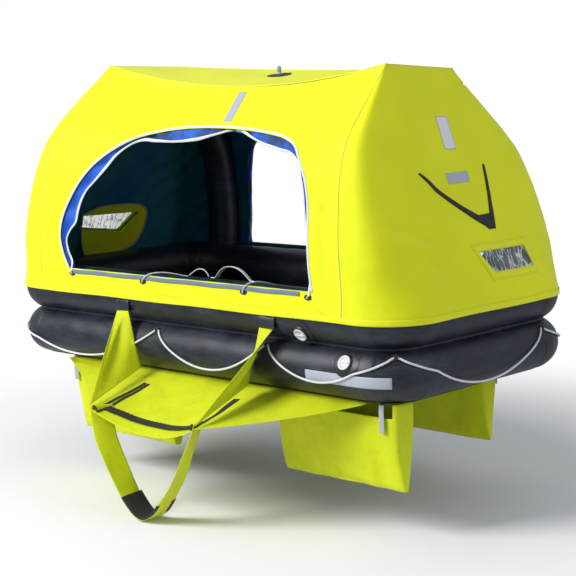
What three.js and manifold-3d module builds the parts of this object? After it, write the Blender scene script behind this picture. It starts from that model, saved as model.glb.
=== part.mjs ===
// Six-person inflatable liferaft with two buoyancy tubes and a pitched canopy.
// Units are millimetres. X runs along the raft, -Y is the boarding side and +Z is up.
// Z = 0 is the flat underside of the floor.
import * as THREE from 'three';
import Module from 'manifold-3d';
import { mergeVertices } from 'three/addons/utils/BufferGeometryUtils.js';

const wasm = await Module();
wasm.setup();

// Driving dimensions.
// Hull
const raftLength = 2700;
const raftWidth = 1380;
const tubeDiameter = 240;
const cornerRadius = 255;          // outer corner of the hull, in plan
const bondFlat = 0.96;             // share of the tube radius left where the tubes are bonded
const floorThickness = 6;
const floorBond = 14;              // floor edge past the tube's lowest line
const fitGap = 0.3;                // between pieces that touch
const tubeRadius = tubeDiameter / 2;
const lowerZ = floorThickness + fitGap + tubeRadius;
const upperZ = lowerZ + 2 * bondFlat * tubeRadius + fitGap;
const tubeTop = upperZ + tubeRadius;
const halfL = raftLength / 2;
const halfW = raftWidth / 2;

// Canopy
const clothThickness = 4;
const hemGap = 0.5;                // hem to the upper tube
const apexRef = 1485;              // nominal height of the arch tops
const doorSill = tubeTop + 6;
const archRadius = 85;

// Rigging
const ropeDiameter = 10;
const webThickness = 3;
const tapeWidth = 50;
const patchThickness = 4;

// Helpers.
const root = new THREE.Group();
root.name = 'inflatable_liferaft';
const materials = {};

function material(slot, color, roughness = 0.7, metalness = 0) {
  materials[slot] ??= new THREE.MeshStandardMaterial({ name: slot, color, roughness, metalness });
  return materials[slot];
}

const black = () => material('rubber_black', 0x15191f);
const yellow = () => material('canopy_yellow', 0xe6ec00);
const apron = () => material('apron_yellow', 0xd8e400);
const white = () => material('rope_white', 0xe8e8e8);
const silver = () => material('reflective_tape', 0xb4b8c6);
const blackWeb = () => material('black_webbing', 0x111114);
const plasticWhite = () => material('white_plastic', 0xe4e4e0, 0.4);

function add(name, geometry, mat) {
  let g = geometry.clone();
  for (const key of Object.keys(g.attributes)) if (key !== 'position') g.deleteAttribute(key);
  g = mergeVertices(g, 1e-4);
  if (signedVolume(g) < 0) flip(g);
  g.computeVertexNormals();
  const mesh = new THREE.Mesh(g, mat);
  mesh.name = name;
  root.add(mesh);
  return mesh;
}

function signedVolume(g) {
  const p = g.attributes.position;
  const ix = g.index;
  const [a, b, c] = [new THREE.Vector3(), new THREE.Vector3(), new THREE.Vector3()];
  let v = 0;
  for (let i = 0; i < ix.count; i += 3) {
    a.fromBufferAttribute(p, ix.getX(i));
    b.fromBufferAttribute(p, ix.getX(i + 1));
    c.fromBufferAttribute(p, ix.getX(i + 2));
    v += a.dot(b.cross(c)) / 6;
  }
  return v;
}

function flip(g) {
  const ix = g.index.array;
  for (let i = 0; i < ix.length; i += 3) [ix[i], ix[i + 1]] = [ix[i + 1], ix[i]];
}

function fromArrays(verts, faces) {
  const g = new THREE.BufferGeometry();
  g.setAttribute('position', new THREE.Float32BufferAttribute(verts.flat(), 3));
  g.setIndex(faces.flat());
  return g;
}

function toManifold(geometry) {
  let g = geometry.clone();
  for (const key of Object.keys(g.attributes)) if (key !== 'position') g.deleteAttribute(key);
  g = mergeVertices(g, 1e-4);
  if (signedVolume(g) < 0) flip(g);
  return new wasm.Manifold(new wasm.Mesh({
    numProp: 3,
    vertProperties: new Float32Array(g.attributes.position.array),
    triVerts: new Uint32Array(g.index.array),
  }));
}

function fromManifold(m) {
  const mesh = m.getMesh();
  const g = new THREE.BufferGeometry();
  g.setAttribute('position', new THREE.BufferAttribute(new Float32Array(mesh.vertProperties), 3));
  g.setIndex(new THREE.BufferAttribute(new Uint32Array(mesh.triVerts), 1));
  return g;
}

function cut(a, ...bs) {
  let m = toManifold(a);
  for (const b of bs) m = m.subtract(toManifold(b));
  return fromManifold(m);
}

function join(a, ...bs) {
  let m = toManifold(a);
  for (const b of bs) m = m.add(toManifold(b));
  return fromManifold(m);
}

function keep(a, b) {
  return fromManifold(toManifold(a).intersect(toManifold(b)));
}

// The largest body left after a cut that also frees offcuts.
function largest(geometry) {
  const parts = toManifold(geometry).decompose();
  return fromManifold(parts.reduce((a, b) => (b.volume() > a.volume() ? b : a)));
}

// A closed sheet between two grids of points with the same rows and columns.
function sheet(outer, inner) {
  const nu = outer.length;
  const nv = outer[0].length;
  const verts = [];
  for (const grid of [outer, inner]) for (const row of grid) for (const p of row) verts.push(p);
  const at = (k, i, j) => k * nu * nv + i * nv + j;
  const faces = [];
  const quad = (a, b, c, d) => faces.push([a, b, c], [a, c, d]);
  for (let i = 0; i < nu - 1; i++) {
    for (let j = 0; j < nv - 1; j++) {
      quad(at(0, i, j), at(0, i + 1, j), at(0, i + 1, j + 1), at(0, i, j + 1));
      quad(at(1, i, j), at(1, i, j + 1), at(1, i + 1, j + 1), at(1, i + 1, j));
    }
  }
  for (let i = 0; i < nu - 1; i++) {
    quad(at(0, i, 0), at(1, i, 0), at(1, i + 1, 0), at(0, i + 1, 0));
    quad(at(0, i, nv - 1), at(0, i + 1, nv - 1), at(1, i + 1, nv - 1), at(1, i, nv - 1));
  }
  for (let j = 0; j < nv - 1; j++) {
    quad(at(0, 0, j), at(0, 0, j + 1), at(1, 0, j + 1), at(1, 0, j));
    quad(at(0, nu - 1, j), at(1, nu - 1, j), at(1, nu - 1, j + 1), at(0, nu - 1, j + 1));
  }
  return fromArrays(verts, faces);
}

// Rings of points joined into a tube; a closed one meets itself, an open one gets end caps.
function loft(rings, closed = false) {
  const n = rings[0].length;
  const verts = rings.flat();
  const faces = [];
  const count = closed ? rings.length : rings.length - 1;
  for (let i = 0; i < count; i++) {
    const k = (i + 1) % rings.length;
    for (let j = 0; j < n; j++) {
      const m = (j + 1) % n;
      faces.push([i * n + j, k * n + j, k * n + m], [i * n + j, k * n + m, i * n + m]);
    }
  }
  if (!closed) {
    for (const [i, turn] of [[0, true], [rings.length - 1, false]]) {
      const c = rings[i].reduce((s, p) => s.map((v, k) => v + p[k] / n), [0, 0, 0]);
      verts.push(c);
      const id = verts.length - 1;
      for (let j = 0; j < n; j++) {
        const m = (j + 1) % n;
        faces.push(turn ? [id, i * n + j, i * n + m] : [id, i * n + m, i * n + j]);
      }
    }
  }
  return fromArrays(verts, faces);
}

const V = (p) => new THREE.Vector3(...p);

// A round or shaped section carried along a path without twist.
function sweep(path, section, closed = false, up = [0, 0, 1]) {
  const pts = path.map(V);
  const n = pts.length;
  const rings = [];
  let normal = V(up);
  for (let i = 0; i < n; i++) {
    const a = pts[closed ? (i + n - 1) % n : Math.max(i - 1, 0)];
    const b = pts[closed ? (i + 1) % n : Math.min(i + 1, n - 1)];
    const t = b.clone().sub(a).normalize();
    if (closed) normal = V(up);
    normal = normal.sub(t.clone().multiplyScalar(normal.dot(t))).normalize();
    const side = t.clone().cross(normal);
    rings.push(section.map(([u, v]) => pts[i].clone().addScaledVector(side, u)
      .addScaledVector(normal, v).toArray()));
  }
  return loft(rings, closed);
}

function circle(r, sides, squash = 1) {
  return Array.from({ length: sides }, (_, k) => {
    const a = (2 * Math.PI * (k + 0.5)) / sides;
    return [r * Math.cos(a), squash * r * Math.sin(a)];
  });
}

// A flat strap: normals give the direction its face looks at each point.
function strap(path, normals, width, thickness) {
  const pts = path.map(V);
  const rings = pts.map((p, i) => {
    const a = pts[Math.max(i - 1, 0)];
    const b = pts[Math.min(i + 1, pts.length - 1)];
    const t = b.clone().sub(a).normalize();
    const nrm = V(normals[Math.min(i, normals.length - 1)]);
    nrm.sub(t.clone().multiplyScalar(nrm.dot(t))).normalize();
    const side = t.clone().cross(nrm).multiplyScalar(width / 2);
    const up = nrm.multiplyScalar(thickness / 2);
    return [[-1, -1], [1, -1], [1, 1], [-1, 1]].map(([u, v]) => p.clone()
      .addScaledVector(side, u).addScaledVector(up, v).toArray());
  });
  return loft(rings);
}

function smooth(points, steps, closed = false) {
  const curve = new THREE.CatmullRomCurve3(points.map(V), closed, 'centripetal');
  const list = curve.getSpacedPoints(steps).map((p) => p.toArray());
  if (closed) list.pop();
  return list;
}

// Smooth interpolation of a table of [position, value] rows.
function along(table, x) {
  const last = table.length - 1;
  if (x <= table[0][0]) return table[0][1];
  if (x >= table[last][0]) return table[last][1];
  let i = 0;
  while (x > table[i + 1][0]) i++;
  const slope = (k) => {
    if (k <= 0) return (table[1][1] - table[0][1]) / (table[1][0] - table[0][0]);
    if (k >= last) return (table[last][1] - table[last - 1][1]) / (table[last][0] - table[last - 1][0]);
    return (table[k + 1][1] - table[k - 1][1]) / (table[k + 1][0] - table[k - 1][0]);
  };
  const h = table[i + 1][0] - table[i][0];
  const t = (x - table[i][0]) / h;
  const [m0, m1] = [slope(i) * h, slope(i + 1) * h];
  const [p0, p1] = [table[i][1], table[i + 1][1]];
  return (2 * t ** 3 - 3 * t ** 2 + 1) * p0 + (t ** 3 - 2 * t ** 2 + t) * m0
    + (-2 * t ** 3 + 3 * t ** 2) * p1 + (t ** 3 - t ** 2) * m1;
}

const mix = (a, b, t) => a + (b - a) * t;
const mix3 = (a, b, t) => a.map((v, k) => mix(v, b[k], t));
const clamp = (x, a, b) => Math.min(Math.max(x, a), b);
const span = (a, b, n) => Array.from({ length: n }, (_, i) => mix(a, b, i / (n - 1)));

function box(x0, x1, y0, y1, z0, z1) {
  const g = new THREE.BoxGeometry(x1 - x0, y1 - y0, z1 - z0);
  g.translate((x0 + x1) / 2, (y0 + y1) / 2, (z0 + z1) / 2);
  return g;
}

// Turns a geometry made round +Z so that +Z points along dir, then moves it to at.
function place(g, at, dir) {
  const q = new THREE.Quaternion().setFromUnitVectors(new THREE.Vector3(0, 0, 1), V(dir).normalize());
  return g.applyQuaternion(q).translate(...at);
}

function disc(radius, z0, z1, sides = 32) {
  const g = new THREE.CylinderGeometry(radius, radius, z1 - z0, sides);
  return g.rotateX(Math.PI / 2).translate(0, 0, (z0 + z1) / 2);
}

// Hull outline.
// Point and outward direction of the tube centreline, by distance from the middle of the front.
const lineR = cornerRadius - tubeRadius;
const straightX = halfL - cornerRadius;
const straightY = halfW - cornerRadius;
const arcLength = (Math.PI / 2) * lineR;
const perimeter = 4 * (straightX + straightY + arcLength);

function outline(s) {
  let d = ((s % perimeter) + perimeter) % perimeter;
  const legs = [
    [straightX, (t) => [[t, -halfW + tubeRadius], [0, -1]]],
    [arcLength, (t) => corner(straightX, -straightY, -Math.PI / 2 + t / lineR)],
    [2 * straightY, (t) => [[halfL - tubeRadius, -straightY + t], [1, 0]]],
    [arcLength, (t) => corner(straightX, straightY, t / lineR)],
    [2 * straightX, (t) => [[straightX - t, halfW - tubeRadius], [0, 1]]],
    [arcLength, (t) => corner(-straightX, straightY, Math.PI / 2 + t / lineR)],
    [2 * straightY, (t) => [[-halfL + tubeRadius, straightY - t], [-1, 0]]],
    [arcLength, (t) => corner(-straightX, -straightY, Math.PI + t / lineR)],
    [straightX, (t) => [[-straightX + t, -halfW + tubeRadius], [0, -1]]],
  ];
  for (const [length, at] of legs) {
    if (d <= length) return at(d);
    d -= length;
  }
  return legs[0][1](0);
}

function corner(cx, cy, angle) {
  const n = [Math.cos(angle), Math.sin(angle)];
  return [[cx + lineR * n[0], cy + lineR * n[1]], n];
}

// Distances along the outline at which a tube ring stands: corners in five steps.
function ringStations() {
  const list = [];
  const marks = [straightX, arcLength, 2 * straightY, arcLength, 2 * straightX, arcLength,
    2 * straightY, arcLength, straightX];
  let d = 0;
  marks.forEach((length, k) => {
    const steps = length === arcLength ? 5 : Math.ceil(length / 800);
    for (let i = 0; i < steps; i++) list.push(d + (length * i) / steps);
    d += length;
  });
  return list;
}

function tubeRing(s, z, radius, sides, flatAbove, flatBelow) {
  const [c, n] = outline(s);
  return Array.from({ length: sides }, (_, k) => {
    const a = (2 * Math.PI * (k + 0.5)) / sides;
    const h = clamp(radius * Math.sin(a), -flatBelow, flatAbove);
    return [c[0] + n[0] * radius * Math.cos(a), c[1] + n[1] * radius * Math.cos(a), z + h];
  });
}

function hullTube(z, flatUp, flatDown, grow = 0, sides = 18) {
  const r = tubeRadius + grow;
  return loft(ringStations().map((s) => tubeRing(s, z, r, sides,
    flatUp ? bondFlat * tubeRadius + grow : r, flatDown ? bondFlat * tubeRadius + grow : r)), true);
}

const lowerTube = hullTube(lowerZ, true, false);
const upperTube = hullTube(upperZ, false, true);
const lowerTubeGrown = hullTube(lowerZ, true, false, fitGap);
const upperTubeGrown = hullTube(upperZ, false, true, fitGap);
add('lower_buoyancy_tube', lowerTube, black());
add('upper_buoyancy_tube', upperTube, black());

// Floor sheet bonded under the lower tube, out to the tube's lowest line.
function floorSheet() {
  const shape = new THREE.Shape();
  ringStations().forEach((s, i) => {
    const [c, n] = outline(s);
    const p = [c[0] + floorBond * n[0], c[1] + floorBond * n[1]];
    if (i) shape.lineTo(...p);
    else shape.moveTo(...p);
  });
  return new THREE.ExtrudeGeometry(shape, { depth: floorThickness, bevelEnabled: false, steps: 1 });
}
add('floor_panel', floorSheet(), black());

// Canopy surface.
// Tables run over the nominal height, from the hem on the tube's widest line to the arch top.
const hemZ = upperZ;
const seamTrim = 0.4;              // between neighbouring panels at a seam
const skin = halfW + hemGap + clothThickness;
const frontDepth = [[hemZ, skin], [480, skin], [700, skin - 4], [880, 668], [1010, 640], [1110, 602],
  [1190, 548], [1250, 492], [1370, 366], [apexRef, 246]];
const backDepth = [[hemZ, skin], [480, skin], [700, skin - 8], [880, 655], [1010, 620], [1090, 585],
  [1160, 535], [1220, 482], [1350, 362], [apexRef, 246]];
const seamX = {
  frontRight: [[hemZ, 1035], [480, 1040], [700, 1026], [960, 1006], [1190, 986], [apexRef, 946]],
  frontLeft: [[hemZ, 1035], [480, 1040], [700, 1030], [960, 1016], [1190, 992], [apexRef, 946]],
  backRight: [[hemZ, 1035], [480, 1032], [700, 1010], [960, 975], [1190, 948], [apexRef, 942]],
  backLeft: [[hemZ, 1000], [480, 985], [700, 965], [960, 952], [1190, 944], [apexRef, 936]],
};
const endReach = [[hemZ, halfL + hemGap + clothThickness], [hemZ + 37, halfL + 1], [480, 1328], [600, 1288],
  [880, 1192], [1200, 1072], [1400, 984], [apexRef, 946]];
const ridge = {
  frontLeft: 1505, frontRight: 1462, frontSag: 104, backLeft: 1495, backRight: 1436, backSag: 14,
};

function ridgeHeight(back, x) {
  const u = clamp((x + 946) / 1892, 0, 1);
  const [l, r, sag] = back ? [ridge.backLeft, ridge.backRight, ridge.backSag]
    : [ridge.frontLeft, ridge.frontRight, ridge.frontSag];
  return mix(l, r, u) - sag * (1 - (2 * u - 1) ** 2);
}

// The middle of a long side stands lower than the arches because the ridge sags between them.
function sideHeight(back, x, level) {
  return hemZ + (level - hemZ) * (ridgeHeight(back, x) - hemZ) / (apexRef - hemZ);
}

function sideX(back, u, level) {
  const [l, r] = back ? ['backLeft', 'backRight'] : ['frontLeft', 'frontRight'];
  return mix(-along(seamX[l], level), along(seamX[r], level), u);
}

function sidePoint(back, u, level) {
  const x = sideX(back, u, level);
  const depth = along(back ? backDepth : frontDepth, level);
  return [x, back ? depth : -depth, sideHeight(back, x, level)];
}

// Hull corner in plan: where a ray from the seam foot meets the rounded corner.
function hullHit(out, across, seam, depth, reach) {
  const r = cornerRadius + hemGap + clothThickness;
  const a = reach - seam;
  const t = Math.atan2(depth * across, a * out);
  const [dc, ds] = [Math.cos(t), Math.sin(t)];
  if (ds * a <= dc * (depth - r)) return [seam + a, (a * ds) / dc];
  if (dc * depth <= ds * (a - r)) return [seam + (depth * dc) / ds, depth];
  const [cx, cy] = [a - r, depth - r];
  const dot = cx * dc + cy * ds;
  const hit = dot + Math.sqrt(dot ** 2 - cx ** 2 - cy ** 2 + r ** 2);
  return [seam + hit * dc, hit * ds];
}

// Point of an end at q from -1 (front seam) to 1 (back seam): the hull corner at the hem,
// a flatter rounded plan between the arches above it.
function endPoint(side, q, level) {
  const [l, r] = side < 0 ? ['frontLeft', 'backLeft'] : ['frontRight', 'backRight'];
  const [fs, bs] = [along(seamX[l], level), along(seamX[r], level)];
  const [fd, bd] = [along(frontDepth, level), along(backDepth, level)];
  const front = [side * fs, -fd, sideHeight(false, side * fs, level)];
  const rear = [side * bs, bd, sideHeight(true, side * bs, level)];
  const n = mix(4.2, 5.5, clamp((level - 500) / 500, 0, 1));
  const m = 0.5 ** (1 / n);
  const h = Math.abs(q);
  const out = h > 0.5 ? 2 * m * (1 - h) : (1 - (2 * m * h) ** n) ** (1 / n);
  const across = h > 0.5 ? (1 - out ** n) ** (1 / n) : 2 * m * h;
  const upper = mix3(front, rear, (1 + Math.sign(q) * across) / 2);
  const reach = along(endReach, level);
  upper[0] += side * (Math.max(reach - Math.abs(upper[0]), 0) * out + seamTrim);
  const w = clamp((level - hemZ - 60) / 180, 0, 1);
  if (w === 1) return upper;
  const [hx, hy] = q < 0 ? hullHit(out, across, fs, fd, reach) : hullHit(out, across, bs, bd, reach);
  return mix3([side * (hx + seamTrim), Math.sign(q) * hy, upper[2]], upper, w);
}

function roofPoint(u, v) {
  const front = sidePoint(false, u, apexRef);
  const rear = sidePoint(true, u, apexRef);
  return mix3(front, rear, v);
}

// Cloth thickness is taken towards the middle of the canopy, so that panels meet in a mitre.
function inward(p, depth) {
  const c = [clamp(p[0], -700, 700), 0, Math.min(p[2], 900)];
  const d = c.map((v, k) => v - p[k]);
  const len = Math.hypot(...d);
  return p.map((v, k) => v + (d[k] / len) * depth);
}

const levels = [hemZ, hemZ + 40, 440, 490, 560, 640, 730, 830, 930, 1020, 1090, 1150, 1200, 1250, 1340,
  apexRef];

function panel(fn, rows, cols, outerAt, innerAt) {
  const outer = rows.map((r) => cols.map((c) => inward(fn(r, c), outerAt)));
  const inner = rows.map((r) => cols.map((c) => inward(fn(r, c), innerAt)));
  return sheet(outer, inner);
}

const sideRows = span(0, 1, 11);
const endRows = [...span(-1, -0.5, 5), ...span(-0.5, 0.5, 5).slice(1, -1), ...span(0.5, 1, 5)];
const topTrim = levels.map((v, i) => (i === levels.length - 1 ? v - 0.35 : v));
const sidePanel = (back, from, to) => panel((u, l) => sidePoint(back, u, l), sideRows, topTrim, from, to);
const endPanel = (side, from, to) => panel((p, l) => endPoint(side, p, l), endRows, topTrim, from, to);
const roofPanel = (from, to) => panel(roofPoint, sideRows, span(0.0007, 0.9993, 7), from, to);

// Doors.
// Arched entrance, in the plane of the long side, from the left end of the sill round to the right.
const doorEdge = [[-802, doorSill], [-846, 560], [-866, 640], [-850, 740], [-765, 885], [-655, 1000],
  [-545, 1078], [-430, 1136], [-300, 1164], [-100, 1184], [150, 1184], [300, 1176], [450, 1162], [590, 1140],
  [680, 1105], [738, 1045], [790, 975], [822, 895], [836, 810], [842, 700], [850, 600], [866, doorSill]];

function doorPath(back, steps) {
  const turn = back ? -1 : 1;
  const curve = new THREE.SplineCurve(doorEdge.map(([x, z]) => new THREE.Vector2(x * turn, z)));
  return curve.getSpacedPoints(steps).map((p) => [p.x, p.y]);
}

function doorCutter(back) {
  const shape = new THREE.Shape(doorPath(back, 26).map(([x, z]) => new THREE.Vector2(x, z)));
  const g = new THREE.ExtrudeGeometry(shape, { depth: 700, bevelEnabled: false, steps: 1 });
  return g.rotateX(Math.PI / 2).translate(0, back ? 1000 : -300, 0);
}

// Point of a long side's outer cloth above or below a place in its plane.
function sideAt(back, x, z, out = 0) {
  const k = (ridgeHeight(back, x) - hemZ) / (apexRef - hemZ);
  const level = hemZ + (z - hemZ) / k;
  const depth = along(back ? backDepth : frontDepth, level);
  return inward([x, back ? depth : -depth, z], -out);
}

// Point of an end's outer cloth at a width and level.
function endAt(side, y, level, out = 0) {
  let [lo, hi] = [-1, 1];
  for (let i = 0; i < 40; i++) {
    const mid = (lo + hi) / 2;
    if (endPoint(side, mid, level)[1] < y) lo = mid;
    else hi = mid;
  }
  return inward(endPoint(side, lo, level), -out);
}

const roofAt = (u, v, out = 0) => inward(roofPoint(u, v), -out);

// Sheet that follows the cloth under a four-cornered patch, from just above it to a thickness.
function patchOn(at, corners, cutter, thickness, nu = 4, nv = 4) {
  const rows = span(0, 1, nu);
  const cols = span(0, 1, nv);
  const grid = (out) => rows.map((a) => cols.map((b) => {
    const p = mix3(mix3(corners[0], corners[1], a), mix3(corners[3], corners[2], a), b);
    return at(p[0], p[1], out);
  }));
  const raw = sheet(grid(thickness), grid(-2.5));
  return cutter ? cut(raw, cutter) : raw;
}

// End windows.
// Corners as [Y, level]: the clear sheet and the hole that it covers, at the left (-1) and right (1).
const windowAt = {
  '-1': [[-283, 735], [205, 728], [72, 562], [-280, 596]],
  1: [[-60, 640], [335, 640], [385, 505], [30, 505]],
};
const windowHole = {
  '-1': [[-253, 702], [150, 696], [40, 592], [-250, 628]],
  1: [[-30, 622], [312, 622], [352, 523], [52, 523]],
};

function prismX(points, x0, x1) {
  const clockwise = THREE.ShapeUtils.isClockWise(points.map((p) => new THREE.Vector2(...p)));
  const ccw = clockwise ? [...points].reverse() : points;
  const shape = new THREE.Shape(ccw.map((p) => new THREE.Vector2(...p)));
  const g = new THREE.ExtrudeGeometry(shape, { depth: x1 - x0, bevelEnabled: false, steps: 1 });
  const m = new THREE.Matrix4().set(0, 0, 1, x0, 1, 0, 0, 0, 0, 1, 0, 0, 0, 0, 0, 1);
  return g.applyMatrix4(m);
}

const endCutter = {};
for (const [name, side] of [['left', -1], ['right', 1]]) {
  const hole = prismX(windowHole[side], side < 0 ? -1450 : 1100, side < 0 ? -1100 : 1450);
  endCutter[side] = endPanel(side, -fitGap, 12);
  add(`canopy_${name}_end`, cut(endPanel(side, 0, clothThickness), hole, upperTubeGrown), yellow());
}
const sideCutter = { false: sidePanel(false, -fitGap, 12), true: sidePanel(true, -fitGap, 12) };
add('canopy_front_side', cut(sidePanel(false, 0, clothThickness), doorCutter(false)), yellow());
add('canopy_back_side', cut(sidePanel(true, 0, clothThickness), doorCutter(true)), yellow());
add('canopy_roof', roofPanel(0, clothThickness), yellow());

const clear = () => material('clear_window', 0x5a5f60, 0.15);
for (const [name, side] of [['left', -1], ['right', 1]]) {
  const sheetOn = patchOn((y, z, out) => endAt(side, y, z, out), windowAt[side], endCutter[side], 4, 6, 4);
  add(`${name}_window`, sheetOn, clear());
}

// Arch tubes.
// Each arch stands on the upper tube and runs up inside the seams of its end.
const archX = [[hemZ, 1062], [700, 1050], [960, 1018], [1190, 962], [1300, 930], [1400, 900], [apexRef, 885]];

function archTube(side) {
  const [fName, bName] = side < 0 ? ['frontLeft', 'backLeft'] : ['frontRight', 'backRight'];
  const leg = (back) => [400, 480, 600, 800, 960, 1080, 1170, 1250, 1330].map((level) => {
    const table = back ? backDepth : frontDepth;
    const shift = along(seamX[back ? bName : fName], level) - along(seamX.frontRight, level);
    const x = side * (along(archX, level) + shift);
    const rise = sideHeight(back, x, level + 8) - sideHeight(back, x, level - 8);
    const run = along(table, level + 8) - along(table, level - 8);
    const len = Math.hypot(rise, run);
    const off = archRadius + clothThickness + mix(4, 14, clamp((level - 900) / 400, 0, 1));
    const y = along(table, level) - (off * rise) / len;
    const z = sideHeight(back, x, level) + (off * run) / len;
    return [x, back ? y : -y, z];
  });
  const top = (back, y) => {
    const x = side * 884;
    return [x, y, ridgeHeight(back, x) - archRadius - clothThickness - 22];
  };
  const path = [...leg(false), top(false, -150), top(false, -60), top(true, 60), top(true, 150),
    ...leg(true).reverse()];
  return cut(sweep(smooth(path, 28), circle(archRadius, 12), false, [1, 0, 0]), upperTubeGrown);
}
add('left_arch_tube', archTube(-1), black());
add('right_arch_tube', archTube(1), black());

// Doors: zip tapes.
const zipWidth = 16;
function zipTape(back) {
  const turn = back ? -1 : 1;
  const edge = doorPath(false, 26);
  const rows = edge.map(([x, z], i) => {
    const a = edge[Math.max(i - 1, 0)];
    const b = edge[Math.min(i + 1, edge.length - 1)];
    const t = new THREE.Vector2(b[0] - a[0], b[1] - a[1]).normalize();
    return [1.5, zipWidth + 1.5].map((w) => [turn * (x - t.y * w), z + t.x * w]);
  });
  const grid = (out) => rows.map((row) => row.map(([x, z]) => sideAt(back, x, z, out)));
  return cut(sheet(grid(4), grid(-2.5)), sideCutter[back]);
}
add('front_door_zip', zipTape(false), white());
add('back_door_zip', zipTape(true), white());

// Sewn and bonded patches.
const webBlack = blackWeb();
const onSide = (back) => (x, z, out) => sideAt(back, x, z, out);
const onEnd = (side) => (y, z, out) => endAt(side, y, z, out);
add('roof_reflective_tape', patchOn(onSide(false), [[92, 1212], [146, 1212], [98, 1352], [44, 1352]],
  sideCutter[false], 3.6, 2, 6), silver());

// Rain gutter: two sloping arms lead into a small pocket above the window.
function gutter(side) {
  const on = onEnd(side);
  const lift = side < 0 ? 45 : 0;  // the left end's window stands higher
  const arms = [
    [[-290, 1003], [-283, 985], [18, 775], [12, 793]],
    [[200, 1018], [214, 1018], [166, 785], [138, 790]],
    [[8, 784], [160, 792], [140, 716], [98, 720]],
  ].map((quad) => quad.map(([y, z]) => [side * y, z + lift]));
  const solids = arms.map((quad, i) => patchOn(on, quad, null, 4 + 0.2 * i, 2, 5));
  return cut(join(...solids), endCutter[side]);
}
add('left_rain_gutter', gutter(-1), webBlack);
add('right_rain_gutter', gutter(1), webBlack);
const endTape = [[-98, 988], [70, 992], [66, 942], [-96, 938]];
add('right_end_reflective_tape', patchOn(onEnd(1), endTape, endCutter[1], 3.4, 4, 2), silver());
const labelAt = [[-36, 1250], [50, 1250], [40, 1095], [-46, 1095]];
const labelWhite = material('label_white', 0xdddddd, 0.5);
add('data_label', patchOn(onEnd(1), labelAt, endCutter[1], 3.4, 2, 5), labelWhite);

// Reflective tape on the lower tube, beside the lower valve.
function tubeTape(x0, x1, z0, z1) {
  const rows = span(x0, x1, 3);
  const cols = span(z0, z1, 5);
  const grid = (r) => rows.map((x) => cols.map((z) => {
    const a = Math.asin((z - lowerZ) / tubeRadius);
    return [x, -(halfW - tubeRadius + r * Math.cos(a)), lowerZ + r * Math.sin(a)];
  }));
  return cut(sheet(grid(tubeRadius + 2), grid(tubeRadius - 4)), lowerTubeGrown);
}

// Lamp on the roof.
const lampAt = [0.468, 0.74];
const lampBaseRadius = 66;
const lampBase = (() => {
  const p = roofAt(...lampAt, 0);
  const g = disc(lampBaseRadius, -12, 4, 28).translate(...p);
  return cut(g, roofPanel(-fitGap, 30));
})();
add('lamp_base', lampBase, webBlack);
add('roof_lamp', (() => {
  const p = roofAt(...lampAt, 0);
  const profile = [[0, 0], [19, 0], [19, 6], [12, 9], [12, 36], [9, 42], [0, 44]];
  const g = new THREE.LatheGeometry(profile.map((q) => new THREE.Vector2(...q)), 12).rotateX(Math.PI / 2);
  return g.translate(p[0], p[1], p[2] + 4 + fitGap);
})(), material('lamp_grey', 0x9aa0a6, 0.4));

// Sill eyelets and lacing.
const eyelets = [[-783, 458], [-240, 452], [450, 452], [850, 457]];
const eyeletOut = skin + fitGap;
function eyelet(x, z) {
  const pad = disc(1, 0, patchThickness, 14).scale(24, 13, 1);
  const g = place(pad, [0, 0, 0], [0, -1, 0]);
  const hole = disc(ropeDiameter / 2, -5, 20, 8).rotateX(Math.PI / 2);
  return cut(g, hole).translate(x, -eyeletOut, z);
}
eyelets.forEach(([x, z], i) => add(`sill_eyelet_${i + 1}`, eyelet(x, z), webBlack));

// Handle on top of the upper tube, inside the front door.
function handle() {
  const y = -548;
  const base = upperZ + Math.sqrt(tubeRadius ** 2 - (y + halfW - tubeRadius) ** 2) + 1;
  const path = smooth([[95, y, base + 2], [120, y, base + 3], [150, y, base + 34], [215, y, base + 62],
    [300, y, base + 46], [355, y, base + 4], [385, y, base + 2]], 22);
  return cut(strap(path, path.map((p, i) => (i < 2 || i > 20 ? [0, 0, 1] : [0, 0.05, 1])), 25, webThickness),
    upperTubeGrown);
}
add('inner_handle', handle(), white());

// Lifeline.
// The rope runs right round the raft and hangs in bights between loops on the tube.
const ropeRadius = ropeDiameter / 2;
const ropeClear = 3;
const loopZ = 214;
const half = perimeter / 2;
const arcFrom = straightX;
const loopStations = [-185, 556, arcFrom + 0.5 * arcLength, arcFrom + arcLength + straightY + 410];
const stations = [...loopStations, ...loopStations.map((s) => s + half)].sort((a, b) => a - b);
const bights = [150, 130, 168, 172, 150, 130, 168, 172];

function ropePoint(s, z) {
  const [c, n] = outline(s);
  const r = tubeRadius + ropeRadius + ropeClear;
  const out = z > lowerZ ? Math.sqrt(r ** 2 - (z - lowerZ) ** 2) : r;
  return [c[0] + n[0] * out, c[1] + n[1] * out, z];
}

function lifeline(radius) {
  const corners = [0, 1, 2, 3].flatMap((k) => span(0, 1, 7).map((t) => arcFrom + t * arcLength
    + [0, arcLength + 2 * straightY, half, half + arcLength + 2 * straightY][k]));
  const path = [];
  stations.forEach((s, i) => {
    const next = i + 1 < stations.length ? stations[i + 1] : stations[0] + perimeter;
    const stops = new Set(span(0, 1, 13).slice(0, -1).map((t) => (1 - Math.cos(Math.PI * t)) / 2));
    for (const c of [...corners, ...corners.map((v) => v + perimeter)]) {
      if (c > s + 12 && c < next - 12) stops.add((c - s) / (next - s));
    }
    const list = [...stops].sort((p, q) => p - q).filter((t, k, all) => k === 0 || t - all[k - 1] > 0.012);
    const level = 9 / (next - s);
    for (const t of list) {
      const k = clamp((t - level) / (1 - 2 * level), 0, 1);
      path.push(ropePoint(mix(s, next, t), loopZ - bights[i] * (4 * k * (1 - k)) ** 0.9));
    }
  });
  return sweep(path, circle(radius, 6), true);
}
add('lifeline', lifeline(ropeRadius), white());
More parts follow.
